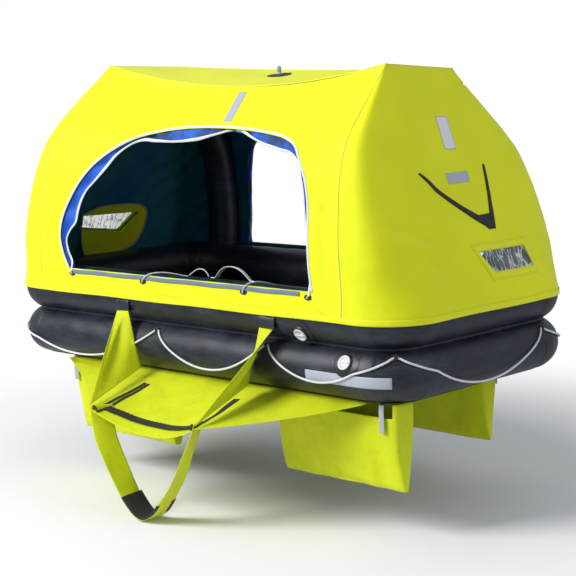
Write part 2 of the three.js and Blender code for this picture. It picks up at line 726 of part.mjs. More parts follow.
const ropeWay = lifeline(ropeRadius + 0.5);

// Rope loop: an oval pad bonded to the tube with a webbing bridge over the rope.
function ropeLoop(s, padLength) {
  const [c, n] = outline(s);
  const t = [-n[1], n[0], 0];
  const a = Math.asin((loopZ - lowerZ) / (tubeRadius + ropeRadius + ropeClear));
  const up = [n[0] * Math.cos(a), n[1] * Math.cos(a), Math.sin(a)];
  const m = new THREE.Matrix4().makeBasis(V(t), V(up).cross(V(t)), V(up));
  m.setPosition(c[0], c[1], lowerZ);
  const pad = disc(1, tubeRadius - 30, tubeRadius + 12, 12).scale(padLength, 25, 1).applyMatrix4(m);
  const r0 = tubeRadius + ropeRadius + ropeClear;
  const bridge = [];
  const steps = 5;
  for (let k = 0; k <= steps; k++) {
    const b = (Math.PI * k) / steps;
    const w = ropeRadius + 4.2;
    bridge.push([0, w * Math.cos(b) * 1.15, Math.max(r0 + w * Math.sin(b), r0 - 2)]);
  }
  bridge.unshift([0, bridge[0][1] + 0.5, tubeRadius - 4]);
  bridge.push([0, bridge[bridge.length - 1][1] - 0.5, tubeRadius - 4]);
  const normals = bridge.map((p) => [0, p[1], p[2] - r0 + 1e-3]);
  normals[0] = [0, 1, 0];
  normals[normals.length - 1] = [0, -1, 0];
  const skinned = keep(pad, hullTube(lowerZ, true, false, 1.8));
  return largest(cut(join(skinned, strap(bridge, normals, 16, 2).applyMatrix4(m)), lowerTubeGrown, ropeWay));
}
stations.forEach((s, i) => add(`lifeline_loop_${i + 1}`, ropeLoop(s, i % 4 < 2 ? 44 : 28), webBlack));

// Inflation and topping-up valves.
const valveFlange = 64;
const valveCap = 33;
function valve(name, x, z, tubeZ, grown, padded) {
  const rise = Math.asin((z - tubeZ) / tubeRadius);
  const dir = [0, -Math.cos(rise), Math.sin(rise)];
  const at = [x, -(halfW - tubeRadius), tubeZ];
  const r = tubeRadius;
  const flange = keep(place(disc(valveFlange, 60, 160, 28), at, dir), padded);
  const ring = place(disc(valveCap + 5, r - 8, r + 10, 24), at, dir);
  const bore = place(disc(valveCap - 8, r + 1, r + 20, 20), at, dir);
  add(`${name}_valve_base`, cut(join(flange, ring), bore, grown), black());
  const bar = box(-valveCap + 6, valveCap - 6, -3, 3, r + 14, r + 19);
  const plug = disc(valveCap - 8 - 0.8, r + 3, r + 12, 20);
  const cap = join(disc(valveCap, r + 10 + fitGap, r + 16, 24), plug, bar);
  add(`${name}_valve_cap`, place(cap, at, dir), plasticWhite());
}
valve('upper', 780, 289, upperZ, upperTubeGrown, hullTube(upperZ, false, true, 1.8));
const lowerValveX = 1042;
valve('lower', lowerValveX, 181, lowerZ, lowerTubeGrown, hullTube(lowerZ, true, false, 1.8));
add('tube_reflective_tape', cut(tubeTape(815, 1190, 84, 84 + tapeWidth),
  place(disc(valveFlange + 0.6, 60, 200, 28), [lowerValveX, -(halfW - tubeRadius), lowerZ],
    [0, -Math.sqrt(1 - (55 / tubeRadius) ** 2), 55 / tubeRadius])), silver());

// Boarding ramp.
// A cloth apron hangs out from under the hull and is held at two corners by side webs.
const rampMid = 90;
const rampHalfBase = 1000;
const rampHalfEdge = 362;
const rampCorner = { y: -1040, z: -125 };
const rampRootY = -577;
const rampRootZ = -2.2;
const rampCloth = 3;

function rampEdge(u) {
  const e = 2 * u - 1;
  const turn = 0.36;
  const side = Math.sign(e) || 1;
  const a = Math.abs(e);
  if (a < turn) {
    const t = a / turn;
    const drop = 1 - t * t;
    return [rampMid + side * rampHalfEdge * t, rampCorner.y + 44 * drop, rampCorner.z - 92 * drop];
  }
  const t = (a - turn) / (1 - turn);
  const sag = 190 * t * (1 - t);
  return [rampMid + side * mix(rampHalfEdge, rampHalfBase, t), mix(rampCorner.y, -640, t) + 0.9 * sag,
    mix(rampCorner.z, -4, t) - 0.35 * sag];
}

function rampPoint(u, v, out = 0) {
  const rootPoint = [rampMid + (2 * u - 1) * rampHalfBase, rampRootY, rampRootZ];
  const p = mix3(rootPoint, rampEdge(u), v);
  p[2] += -34 * v * (1 - v) * Math.sin(Math.PI * u) + out;
  return p;
}

const rampRows = [0, 0.08, 0.16, 0.24, 0.32, 0.38, 0.44, 0.5, 0.56, 0.62, 0.68, 0.76, 0.84, 0.92, 1];
const rampCols = [0, 0.08, 0.28, 0.52, 0.76, 1];
const rampSheet = (top, bottom) => sheet(rampRows.map((u) => rampCols.map((v) => rampPoint(u, v, top))),
  rampRows.map((u) => rampCols.map((v) => rampPoint(u, v, bottom))));
add('boarding_ramp', rampSheet(rampCloth / 2, -rampCloth / 2), apron());

// The same surface as the flat facets of the sheet, for webbing that lies on it.
function rampOn(u, v, out) {
  const cell = (list, x) => {
    let i = 0;
    while (i < list.length - 2 && x > list[i + 1]) i++;
    return [list[i], list[i + 1], (x - list[i]) / (list[i + 1] - list[i])];
  };
  const [u0, u1, a] = cell(rampRows, u);
  const [v0, v1, b] = cell(rampCols, v);
  return mix3(mix3(rampPoint(u0, v0, out), rampPoint(u1, v0, out), a),
    mix3(rampPoint(u0, v1, out), rampPoint(u1, v1, out), a), b);
}

// Webbing on the ramp: one strap to each corner and one across between them.
function rampStraps() {
  const strip = (from, to, width, steps, bow = 0) => {
    const grid = (out) => span(0, 1, steps).map((t) => {
      const [u, v] = [mix(from[0], to[0], t), mix(from[1], to[1], t) - bow * 4 * t * (1 - t)];
      const across = Math.abs(to[0] - from[0]) > Math.abs(to[1] - from[1]) ? [0, 1] : [1, 0];
      return [-0.5, 0.5].map((k) => rampOn(u + across[0] * k * width[0], v + across[1] * k * width[1], out));
    });
    return sheet(grid(rampCloth / 2 + 3.4), grid(-rampCloth / 2));
  };
  const leftStrap = strip([0.344, 0.3], [0.331, 0.985], [0.03, 0], 8);
  const rightStrap = strip([0.656, 0.3], [0.669, 0.985], [0.03, 0], 8);
  const crossStrap = strip([0.338, 0.86], [0.662, 0.86], [0, 0.1], 13, 0.04);
  return cut(join(leftStrap, rightStrap, crossStrap), rampSheet(rampCloth / 2 + fitGap, -20));
}
add('ramp_webbing', rampStraps(), webBlack);

// Side webs run from a patch on the upper tube to the ramp's corners.
const webFace = halfW + 0.6 + webThickness / 2;
function sideWeb(side) {
  const x = (d) => rampMid + side * d;
  const topZ = 296;
  const [t1, t2] = [[x(535), -webFace, topZ - 3], [x(452), -webFace, topZ]];
  const inner = [x(372), -webFace, 22];
  const outer = [x(368), rampCorner.y + 4, rampCorner.z + 16];
  const rows = span(0, 1, 4);
  const cols = span(0, 1, 9);
  const mid = (a, b) => {
    const p = mix3(mix3(t1, t2, a), mix3(outer, inner, a), b);
    p[0] += side * 26 * Math.sin(Math.PI * a) * Math.sin(Math.PI * b);
    return p;
  };
  const grid = (k) => rows.map((a) => cols.map((b) => {
    const p = mid(a, b);
    const w = clamp(b * 4, 0, 1);
    const n = new THREE.Vector3(side * w, -(1 - w), 0).normalize();
    const lean = a === 1 ? 0 : 1;
    return [p[0] + n.x * k * webThickness / 2, p[1] + n.y * k * (webThickness / 2) * lean, p[2]];
  }));
  return sheet(grid(1), grid(-1));
}
add('left_ramp_web', largest(cut(sideWeb(-1), ropeWay)), apron());
add('right_ramp_web', largest(cut(sideWeb(1), ropeWay)), apron());

function webPatch(side) {
  const x0 = rampMid + side * 445;
  const x1 = rampMid + side * 548;
  return cut(box(Math.min(x0, x1), Math.max(x0, x1), -webFace - 2, -halfW + 30, 296.6, 346), upperTubeGrown);
}
add('left_web_patch', webPatch(-1), black());
add('right_web_patch', webPatch(1), black());

// Boarding stirrup.
const stirrupBand = 3;
function stirrup() {
  const x = (d) => rampMid + d;
  const z0 = rampCorner.z - 6;
  const path = smooth([
    [x(-338), -984, z0 + 22], [x(-326), -992, z0 - 30], [x(-286), -1006, z0 - 130],
    [x(-192), -1008, z0 - 290],
    [x(-96), -1002, z0 - 415], [x(-40), -1000, z0 - 462], [x(0), -1000, z0 - 474], [x(44), -1000, z0 - 462],
    [x(98), -1002, z0 - 415], [x(190), -1008, z0 - 290], [x(284), -1006, z0 - 130], [x(326), -992, z0 - 30],
    [x(338), -984, z0 + 22],
  ], 24);
  const normals = path.map((p, i) => {
    const t = (2 * i) / (path.length - 1) - 1;
    return [-Math.sin(t * 1.1) * 0.9, -0.35 * Math.abs(t), Math.cos(t * 1.1)];
  });
  return { path, normals };
}
const stirrupLine = stirrup();
const stirrupSolid = (grow) => strap(stirrupLine.path, stirrupLine.normals, 112 + grow, stirrupBand + grow);
const rampWay = rampSheet(rampCloth / 2 + fitGap, -rampCloth / 2 - fitGap);
add('boarding_stirrup', largest(cut(stirrupSolid(0), rampWay)), apron());
const footPad = strap(stirrupLine.path.slice(9, 16).map(([a, b, c]) => [a, b, c + 3]),
  stirrupLine.normals.slice(9, 16), 128, 9);
add('stirrup_foot_pad', cut(footPad, stirrupSolid(2 * fitGap)), webBlack);

// Water pockets.
// Stabilising bags hang under the floor, with their mouths open towards the outside.
const pocketLength = 720;
const pocketDrop = 400;
const pocketWall = 3;
const mouthDrop = 64;

function pocketSolid(inset, zTop) {
  const levelsDown = [0, 60, 150, 270, pocketDrop];
  const halfDepth = [70, 72, 66, 44, 14];
  const rings = levelsDown.map((d, i) => {
    const z = -Math.min(Math.max(d, -zTop), pocketDrop - inset);
    const hx = pocketLength / 2 - inset + (i === 2 ? 4 : 0);
    const hy = Math.max(halfDepth[i] - inset, 2.5);
    const ring = [];
    for (let k = 0; k < 5; k++) {
      const t = k / 4;
      ring.push([mix(-hx, hx, t), -hy - (k > 0 && k < 4 ? 8 - 5 * Math.cos(2.1 * k) : 0) * (i ? 1 : 0.2), z]);
    }
    for (let k = 0; k < 4; k++) {
      const t = k / 3;
      ring.push([mix(hx, -hx, t), hy + (k > 0 && k < 3 ? 4 : 0) * (i ? 1 : 0.2), z]);
    }
    return ring;
  });
  return loft(rings);
}

// A tape runs from the floor down the front of the bag, over its mouth.
const pocketTape = (x) => cut(join(box(x - 14, x + 14, -87, -84, -mouthDrop - 66, -fitGap - 0.2),
  box(x - 14, x + 14, -86, -58, -3, -fitGap - 0.2)), box(x - 40, x + 40, -140, 0, -mouthDrop - 70, -500));
const pocketBag = (tapeX) => join(cut(pocketSolid(0, -fitGap), pocketSolid(pocketWall, 5),
  box(-pocketLength / 2 + 22, pocketLength / 2 - 22, -140, -20, -mouthDrop, 5)),
box(tapeX - 14, tapeX + 14, -84, -70, -mouthDrop - 66, -mouthDrop - 8), pocketTape(tapeX));
const pockets = [['front_right', 870, -500, 290, 1], ['front_left', -600, -500, -330, 1],
  ['back_left', -870, 500, 290, -1], ['back_right', 600, 500, -330, -1]];
for (const [name, x, y, tapeX, turn] of pockets) {
  add(`${name}_water_pocket`, pocketBag(tapeX).rotateZ(turn < 0 ? Math.PI : 0).translate(x, y, 0), apron());
}

// Gas cylinder.
// The cylinder lies in two straps under the middle of the floor; its hose feeds both tubes.
const gasRadius = 56;
const gasLength = 400;
const gasY = 215;
const gasZ = -gasRadius - webThickness - 4 * fitGap;
const steel = material('cylinder_steel', 0x8a8f94, 0.4, 0.6);
add('gas_cylinder', (() => {
  const h = gasLength / 2;
  const profile = [[0, -h - 34], [30, -h - 28], [gasRadius - 8, -h - 8], [gasRadius, -h + 14],
    [gasRadius, h - 14], [gasRadius - 8, h + 8], [30, h + 28], [17, h + 34], [17, h + 48], [0, h + 48]];
  const g = new THREE.LatheGeometry(profile.map((q) => new THREE.Vector2(...q)), 16);
  return g.rotateZ(-Math.PI / 2).translate(0, gasY, gasZ);
})(), steel);
const headX = gasLength / 2 + 48 + fitGap;
add('firing_head', join(box(headX, headX + 44, gasY - 22, gasY + 22, gasZ - 20, gasZ + 20),
  disc(9, 0, 30, 12).rotateX(-Math.PI / 2).translate(headX + 26, gasY + 20, gasZ)),
material('brass', 0xb08d4a, 0.35, 0.8));
for (const [name, x] of [['left', -120], ['right', 120]]) {
  const ring = [];
  const r = gasRadius + 3 * fitGap + webThickness / 2;
  for (let k = 0; k <= 12; k++) {
    const a = Math.PI * (k / 12);
    ring.push([x, gasY + r * Math.cos(a), gasZ - r * Math.sin(a)]);
  }
  const top = -fitGap - webThickness / 2;
  const path = [[x, gasY + r + 46, top], [x, gasY + r + 12, top], ...ring,
    [x, gasY - r - 12, top], [x, gasY - r - 46, top]];
  const onFloor = (i) => i < 2 || i > path.length - 3;
  const normals = path.map((q, i) => (onFloor(i) ? [0, 0, -1] : [0, q[1] - gasY, q[2] - gasZ]));
  const belt = cut(strap(path, normals, 45, webThickness), box(-400, 400, 0, 500, -fitGap, 60));
  add(`${name}_cylinder_strap`, largest(belt), webBlack);
}
const hoseRadius = 8;
const hoseX = 60;
const hosePath = smooth([
  [headX + 26, gasY + 53.4, gasZ], [headX + 26, gasY + 66, gasZ + 0.5], [headX - 20, gasY + 120, -40],
  [hoseX + 60, 420, -18], [hoseX, 520, -16], [hoseX, 620, -10], [hoseX + 4, 690, 24],
  [hoseX + 6, 718, 90], [hoseX + 6, 718, 150],
], 18);
add('inflation_hose', sweep(hosePath, circle(hoseRadius, 6)), black());
add('inflation_inlet', cut(join(
  disc(26, 100, tubeRadius + 3, 16).rotateX(-Math.PI / 2).translate(hoseX + 6, halfW - tubeRadius, 176),
  box(hoseX - 8, hoseX + 20, halfW - 12, halfW + 38, 151, 196),
), lowerTubeGrown), black());

// Equipment bag strapped on the floor at the right end.
const bagSize = [360, 440, 190];
add('equipment_bag', (() => {
  const ring = (inset, z) => {
    const [hx, hy] = [bagSize[0] / 2 - inset, bagSize[1] / 2 - inset];
    const c = 50;
    return [[-hx + c, -hy], [hx - c, -hy], [hx, -hy + c], [hx, hy - c], [hx - c, hy], [-hx + c, hy],
      [-hx, hy - c], [-hx, -hy + c]].map(([x, y]) => [x + 880, y, z + floorThickness + fitGap]);
  };
  return loft([ring(22, 0), ring(4, 24), ring(0, 90), ring(6, 160), ring(34, bagSize[2])]);
})(), material('bag_orange', 0xd0641a));

export default root;
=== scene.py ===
import math

import bmesh
import bpy
import numpy as np
from mathutils import Matrix


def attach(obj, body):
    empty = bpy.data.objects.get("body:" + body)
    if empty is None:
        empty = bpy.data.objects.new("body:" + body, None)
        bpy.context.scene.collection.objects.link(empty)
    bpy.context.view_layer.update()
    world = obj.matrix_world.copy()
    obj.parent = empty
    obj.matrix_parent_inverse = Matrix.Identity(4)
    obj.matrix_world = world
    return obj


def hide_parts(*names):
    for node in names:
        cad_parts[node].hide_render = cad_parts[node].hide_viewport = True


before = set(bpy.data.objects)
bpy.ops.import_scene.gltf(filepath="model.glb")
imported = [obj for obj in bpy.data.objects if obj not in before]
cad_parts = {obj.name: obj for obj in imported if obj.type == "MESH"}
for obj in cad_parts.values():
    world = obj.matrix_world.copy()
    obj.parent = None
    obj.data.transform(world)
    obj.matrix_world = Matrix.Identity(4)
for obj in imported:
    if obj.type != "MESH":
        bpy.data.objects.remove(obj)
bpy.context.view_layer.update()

# Camera, light and floor. The camera stands ahead of the raft's front right corner, a little below
# its roof. One wide soft light comes from the front left and the pale floor lights the underside.
eye = np.array([5.248, -5.487, 1.387])
yaw, pitch, roll = math.radians(43.32), math.radians(7.75), math.radians(-1.6)
ahead = np.array([-math.sin(yaw) * math.cos(pitch), math.cos(yaw) * math.cos(pitch), -math.sin(pitch)])


def camera_axes(ahead, roll):
    """Right and up directions: level ones from the cross product with Z, then turned by the roll."""
    right = np.cross(ahead, [0, 0, 1])
    right = right / np.linalg.norm(right)
    up = np.cross(right, ahead)
    return math.cos(roll) * right + math.sin(roll) * up, math.cos(roll) * up - math.sin(roll) * right


def aimed(place, ahead, roll=0.0):
    """Object matrix that stands at a place and looks along a direction."""
    ahead = np.asarray(ahead, float) / np.linalg.norm(ahead)
    right, up = camera_axes(ahead, roll)
    rows = np.column_stack([right, up, -ahead, place])
    return Matrix([*rows.tolist(), [0, 0, 0, 1]])


camera = bpy.data.objects.new("camera", bpy.data.cameras.new("camera"))
camera.data.lens = 93.76
camera.data.sensor_width = 36
camera.matrix_world = aimed(eye, ahead, roll)
scene = bpy.context.scene
scene.collection.objects.link(camera)
scene.camera = camera
scene.view_settings.view_transform = "Standard"


def soft_light(name, place, target, size, watts):
    light = bpy.data.lights.new(name, "AREA")
    light.size = size
    light.energy = watts
    lamp = bpy.data.objects.new(name, light)
    lamp.matrix_world = aimed(place, np.subtract(target, place))
    scene.collection.objects.link(lamp)


soft_light("main_light", (-3.2, -7.5, 5.6), (0, 0, 0.5), 4.5, 980)
soft_light("side_light", (7.0, 1.0, 4.0), (0, 0, 0.5), 4.0, 90)


# Hull. Two stacked buoyancy tubes of black rubber-coated cloth, blown hard, with glued wrap bands
# at the corners, a bonding tape along the joint between them and a floor glued under the lower one.
class Value:
    """A shader socket that Python sums can use: each operation adds a Math node."""

    def __init__(self, paint, socket):
        self.paint = paint
        self.socket = socket

    def math(self, operation, *values):
        return self.paint.node("Math", {"operation": operation}, dict(enumerate(values)))

    def __add__(self, other):
        return self.math("ADD", self, other)

    def __sub__(self, other):
        return self.math("SUBTRACT", self, other)

    def __rsub__(self, other):
        return self.math("SUBTRACT", other, self)

    def __mul__(self, other):
        return self.math("MULTIPLY", self, other)

    def __truediv__(self, other):
        return self.math("DIVIDE", self, other)

    def __pow__(self, other):
        return self.math("POWER", self, other)

    __radd__ = __add__
    __rmul__ = __mul__

    def sine(self):
        return self.math("SINE", self)

    def size(self):
        return self.math("ABSOLUTE", self)

    def between(self, low, high):
        """0 below low, 1 above high and a straight line between them."""
        return self.paint.node("MapRange", {}, {"Value": self, "From Min": low, "From Max": high})


class Paint:
    """One finish: a Principled shader whose constants are set directly and whose rest comes from nodes."""

    def __init__(self, name, constants):
        self.material = bpy.data.materials.new(name)
        self.material.use_nodes = True
        self.tree = self.material.node_tree
        self.shader = self.tree.nodes["Principled BSDF"]
        for key, value in constants.items():
            self.shader.inputs[key].default_value = value

    def node(self, kind, settings, values, out=0):
        """Adds any node: its type, its settings, and the values or links of its sockets."""
        made = self.tree.nodes.new("ShaderNode" + kind)
        for key, value in settings.items():
            setattr(made, key, value)
        for key, value in values.items():
            self.link(made.inputs[key], value)
        return Value(self, made.outputs[out])

    def link(self, socket, value):
        if isinstance(value, Value):
            self.tree.links.new(value.socket, socket)
        else:
            socket.default_value = value

    def place(self):
        return self.node("TexCoord", {}, {}, "Object")

    def along(self):
        """The piece's own pattern coordinates, in metres, as two numbers."""
        pattern = self.node("UVMap", {"uv_map": "pattern"}, {})
        parts = self.node("SeparateXYZ", {}, {"Vector": pattern})
        return parts, Value(self, parts.socket.node.outputs[1])

    def layer(self, name):
        return self.node("Attribute", {"attribute_name": name}, {}, "Fac")

    def noise(self, scale, detail=3.0, stretch=(1, 1, 1), rough=0.55):
        """Cloudy pattern, about 1 / scale metres across, longer along the axes with a small stretch."""
        spot = self.node("Mapping", {}, {"Vector": self.place(), "Scale": stretch})
        return self.node("TexNoise", {}, {"Vector": spot, "Scale": scale, "Detail": detail, "Roughness": rough})

    def blend(self, share, first, second):
        return self.node("Mix", {"data_type": "RGBA"}, {0: share, 6: first, 7: second}, 2)

    def bump(self, height, distance, strength=1.0):
        return self.node("Bump", {}, {"Height": height, "Distance": distance, "Strength": strength})

    def finish(self, **sockets):
        for key, value in sockets.items():
            self.link(self.shader.inputs[key.replace("_", " ")], value)
        return self.material


def grid_quads(rows, columns, ring_rows, ring_columns):
    """Quads of a grid of points; a ringed side runs on from its last line to its first."""
    i = np.arange(rows if ring_rows else rows - 1)[:, None]
    j = np.arange(columns if ring_columns else columns - 1)[None, :]
    corner_i = np.stack([i + 0 * j, i + 1 + 0 * j, i + 1 + 0 * j, i + 0 * j], -1)
    corner_j = np.stack([j + 0 * i, j + 0 * i, j + 1 + 0 * i, j + 1 + 0 * i], -1)
    quads = (corner_i % rows) * columns + corner_j % columns
    return quads.reshape(-1, 4), corner_i.reshape(-1, 4), corner_j.reshape(-1, 4)


def patch(points, u, v, ring_rows=False, ring_columns=False, holes=None, **layers):
    """One grid of points with its pattern lines u and v (one longer on a ringed side) and named layers."""
    rows, columns = points.shape[:2]
    quads, i, j = grid_quads(rows, columns, ring_rows, ring_columns)
    if np.ndim(u) == 1:
        u, v = np.meshgrid(u, v, indexing="ij")
    pattern = np.stack([u[i, j], v[i, j]], -1)
    if holes is not None:
        stay = ~holes.reshape(-1)
        quads, pattern = quads[stay], pattern[stay]
    return points.reshape(-1, 3), quads, pattern, {k: np.ravel(a) for k, a in layers.items()}


def build(name, patches, material, replaces=(), body="raft", weld=0.0, wall=0.0):
    """Joins patches into one smooth mesh object that rides on a body and takes its finish from a slot.
    Faces are turned when the volume that they enclose round their mean point is negative."""
    points = np.concatenate([p[0] for p in patches])
    starts = np.cumsum([0] + [len(p[0]) for p in patches[:-1]])
    quads = np.concatenate([p[1] + s for p, s in zip(patches, starts)])
    pattern = np.concatenate([p[2] for p in patches])
    a, b, c, d = np.moveaxis((points - points.mean(0))[quads], 1, 0)
    if (a * np.cross(b, c) + a * np.cross(c, d)).sum() < 0:
        quads, pattern = quads[:, ::-1], pattern[:, ::-1]
    mesh = bpy.data.meshes.new(name)
    mesh.vertices.add(len(points))
    mesh.vertices.foreach_set("co", points.astype(np.float32).ravel())
    mesh.loops.add(quads.size)
    mesh.loops.foreach_set("vertex_index", quads.astype(np.int32).ravel())
    mesh.polygons.add(len(quads))
    mesh.polygons.foreach_set("loop_start", np.arange(0, quads.size, 4, dtype=np.int32))
    mesh.polygons.foreach_set("use_smooth", np.ones(len(quads), bool))
    mesh.uv_layers.new(name="pattern").data.foreach_set("uv", pattern.astype(np.float32).ravel())
    for key in patches[0][3]:
        values = np.concatenate([p[3][key] for p in patches]).astype(np.float32)
        mesh.attributes.new(key, "FLOAT", "POINT").data.foreach_set("value", values)
    mesh.update(calc_edges=True)
    mesh.validate()
    mesh.materials.append(material)
    piece = bpy.data.objects.new(name, mesh)
    scene.collection.objects.link(piece)
    if weld:
        work = bmesh.new()
        work.from_mesh(mesh)
        bmesh.ops.remove_doubles(work, verts=work.verts, dist=weld)
        work.to_mesh(mesh)
        work.free()
    if wall:
        shell = piece.modifiers.new("wall", "SOLIDIFY")
        shell.thickness = wall
        shell.offset = 0
    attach(piece, body)
    if replaces:
        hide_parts(*replaces)
    return piece


def cloth(piece, width, share=1.0):
    """Works out the flat length of a sheet of known flat width, its one-sided area over width and share, where
    the share is the part of the flat rectangle that its pattern fills; the result is not kept."""
    area = sum(p.area for p in piece.data.polygons)
    area / (width * share)


def ripple(points, size, seed, waves=7):
    """Smooth unevenness from -1 to 1: a mean of sine waves in fixed random directions and sizes."""
    rng = np.random.default_rng(seed)
    ways = rng.normal(size=(waves, 3))
    ways /= np.linalg.norm(ways, axis=1, keepdims=True)
    steps = 2 * np.pi / (size * rng.uniform(0.6, 1.7, waves))
    return np.sin(points @ (ways * steps[:, None]).T + rng.uniform(0, 6.28, waves)).mean(-1) * 1.6


def lengths(path):
    """Distance along a path at each of its points."""
    steps = np.linalg.norm(np.diff(path, axis=0), axis=1)
    return np.concatenate([[0], np.cumsum(steps)])


def smooth_path(points, steps):
    """Evenly spaced points of a centripetal curve through the given ones, by cubic pieces in chord length."""
    points = np.asarray(points, float)
    at = np.concatenate([[0], np.cumsum(np.linalg.norm(np.diff(points, axis=0), axis=1) ** 0.5)])
    slope = np.gradient(points, at, axis=0)
    t = np.linspace(0, at[-1], 60 * len(points))
    i = np.clip(np.searchsorted(at, t, side="right") - 1, 0, len(at) - 2)
    h = (at[i + 1] - at[i])[:, None]
    k = (t[:, None] - at[i][:, None]) / h
    fine = ((2 * k**3 - 3 * k**2 + 1) * points[i] + (k**3 - 2 * k**2 + k) * h * slope[i]
            + (3 * k**2 - 2 * k**3) * points[i + 1] + (k**3 - k**2) * h * slope[i + 1])
    gone = lengths(fine)
    even = np.linspace(0, gone[-1], steps)
    return np.column_stack([np.interp(even, gone, fine[:, c]) for c in range(points.shape[1])])


def carried(path, section, facing, ring=False):
    """A section of (across, out) points carried along a path; facing is the way that out points."""
    if ring:
        tangent = np.roll(path, -1, 0) - np.roll(path, 1, 0)
    else:
        tangent = np.gradient(path, axis=0)
    tangent /= np.linalg.norm(tangent, axis=1, keepdims=True)
    facing = np.broadcast_to(np.asarray(facing, float), path.shape)
    out = facing - tangent * (facing * tangent).sum(1, keepdims=True)
    out /= np.linalg.norm(out, axis=1, keepdims=True)
    across = np.cross(tangent, out)
    section = np.broadcast_to(section, (len(path), *np.shape(section)[-2:]))
    return path[:, None] + across[:, None] * section[..., :1] + out[:, None] * section[..., 1:2]


def tube(path, radius, sides, facing, ring=False, strands=0, pitch=1.0, relief=0.0, caps=True):
    """A round piece along a path. Strands raise its surface by relief in helices of the given pitch."""
    gone = lengths(np.vstack([path, path[:1]]) if ring else path)
    turn = 2 * np.pi * np.arange(sides) / sides
    radius = np.broadcast_to(radius, len(path))
    wave = np.cos(strands * (turn[None] - 2 * np.pi * gone[:len(path), None] / pitch)) if strands else 0
    r = radius[:, None] * (1 + relief * wave) * np.ones((len(path), sides))
    section = np.stack([r * np.cos(turn), r * np.sin(turn)], -1)
    points = carried(path, section, facing, ring)
    v = 2 * np.pi * float(np.max(radius)) * np.arange(sides + 1) / sides
    if caps and not ring:
        for end in (0, -1):
            cap = np.repeat(path[end][None, None], sides, 1)
            points = np.concatenate([cap, points] if end == 0 else [points, cap])
        gone = np.concatenate([[gone[0]], gone, [gone[-1]]])
    return patch(points, gone, v, ring, True)


def ribbon(path, facing, width, thick, bow=0.0, ring=False):
    """A flat band along a path as a thin closed bar: rounded edges, bowed across by the given height."""
    a = np.array([-0.5, -0.46, -0.2, 0.2, 0.46, 0.5, 0.46, 0.2, -0.2, -0.46])
    b = np.array([0, 0.5, 0.5, 0.5, 0.5, 0, -0.5, -0.5, -0.5, -0.5])
    width = np.broadcast_to(width, len(path))[:, None]
    section = np.stack([a * width, b * thick + bow * (1 - 4 * a * a) * np.ones_like(width)], -1)
    points = carried(path, section, facing, ring)
    gone = lengths(np.vstack([path, path[:1]]) if ring else path)
    if not ring:
        points = np.concatenate([points[:1].mean(1, keepdims=True).repeat(10, 1), points,
                                 points[-1:].mean(1, keepdims=True).repeat(10, 1)])
        gone = np.concatenate([[gone[0]], gone, [gone[-1]]])
    v = np.concatenate([a, a[:1]]) * float(np.max(width))
    return patch(points, gone, v, ring, True)


raft_length, raft_width, tube_radius, corner_radius = 2.7, 1.38, 0.12, 0.255
bond = 0.96 * tube_radius
lower_z = 0.1263
upper_z = lower_z + 2 * bond + 0.0003
line_radius = corner_radius - tube_radius
straight_x = raft_length / 2 - corner_radius
straight_y = raft_width / 2 - corner_radius
quarter = math.pi / 2 * line_radius
perimeter = 4 * (straight_x + straight_y + quarter)
marks = np.cumsum([0, straight_x, quarter, 2 * straight_y, quarter, 2 * straight_x, quarter,
                   2 * straight_y, quarter, straight_x])


def outline(s):
    """Centreline of the hull in plan and its outward way, by distance from the middle of the front.
    A point runs round the corner centres' rectangle while the outward way turns at each corner."""
    s = np.mod(s, perimeter)
    cx = np.interp(s, marks, straight_x * np.array([0, 1, 1, 1, 1, -1, -1, -1, -1, 0]))
    cy = np.interp(s, marks, straight_y * np.array([-1, -1, -1, 1, 1, 1, 1, -1, -1, -1]))
    turn = np.radians(np.interp(s, marks, [-90, -90, 0, 0, 90, 90, 180, 180, 270, 270]))
    out = np.stack([np.cos(turn), np.sin(turn), 0 * turn], -1)
    return np.stack([cx, cy, 0 * cx], -1) + line_radius * out, out


def on_tube(s, angle, z, lift=0.0):
    """Point on a tube's skin, lifted off it: angle 0 looks outwards and a quarter turn looks up."""
    centre, out = outline(s)
    r = tube_radius + lift
    point = centre + out * (r * np.cos(angle))[..., None]
    point[..., 2] = z + r * np.sin(angle)
    return point


def bead(x, place, width):
    return np.exp(-((x - place) / width) ** 2)


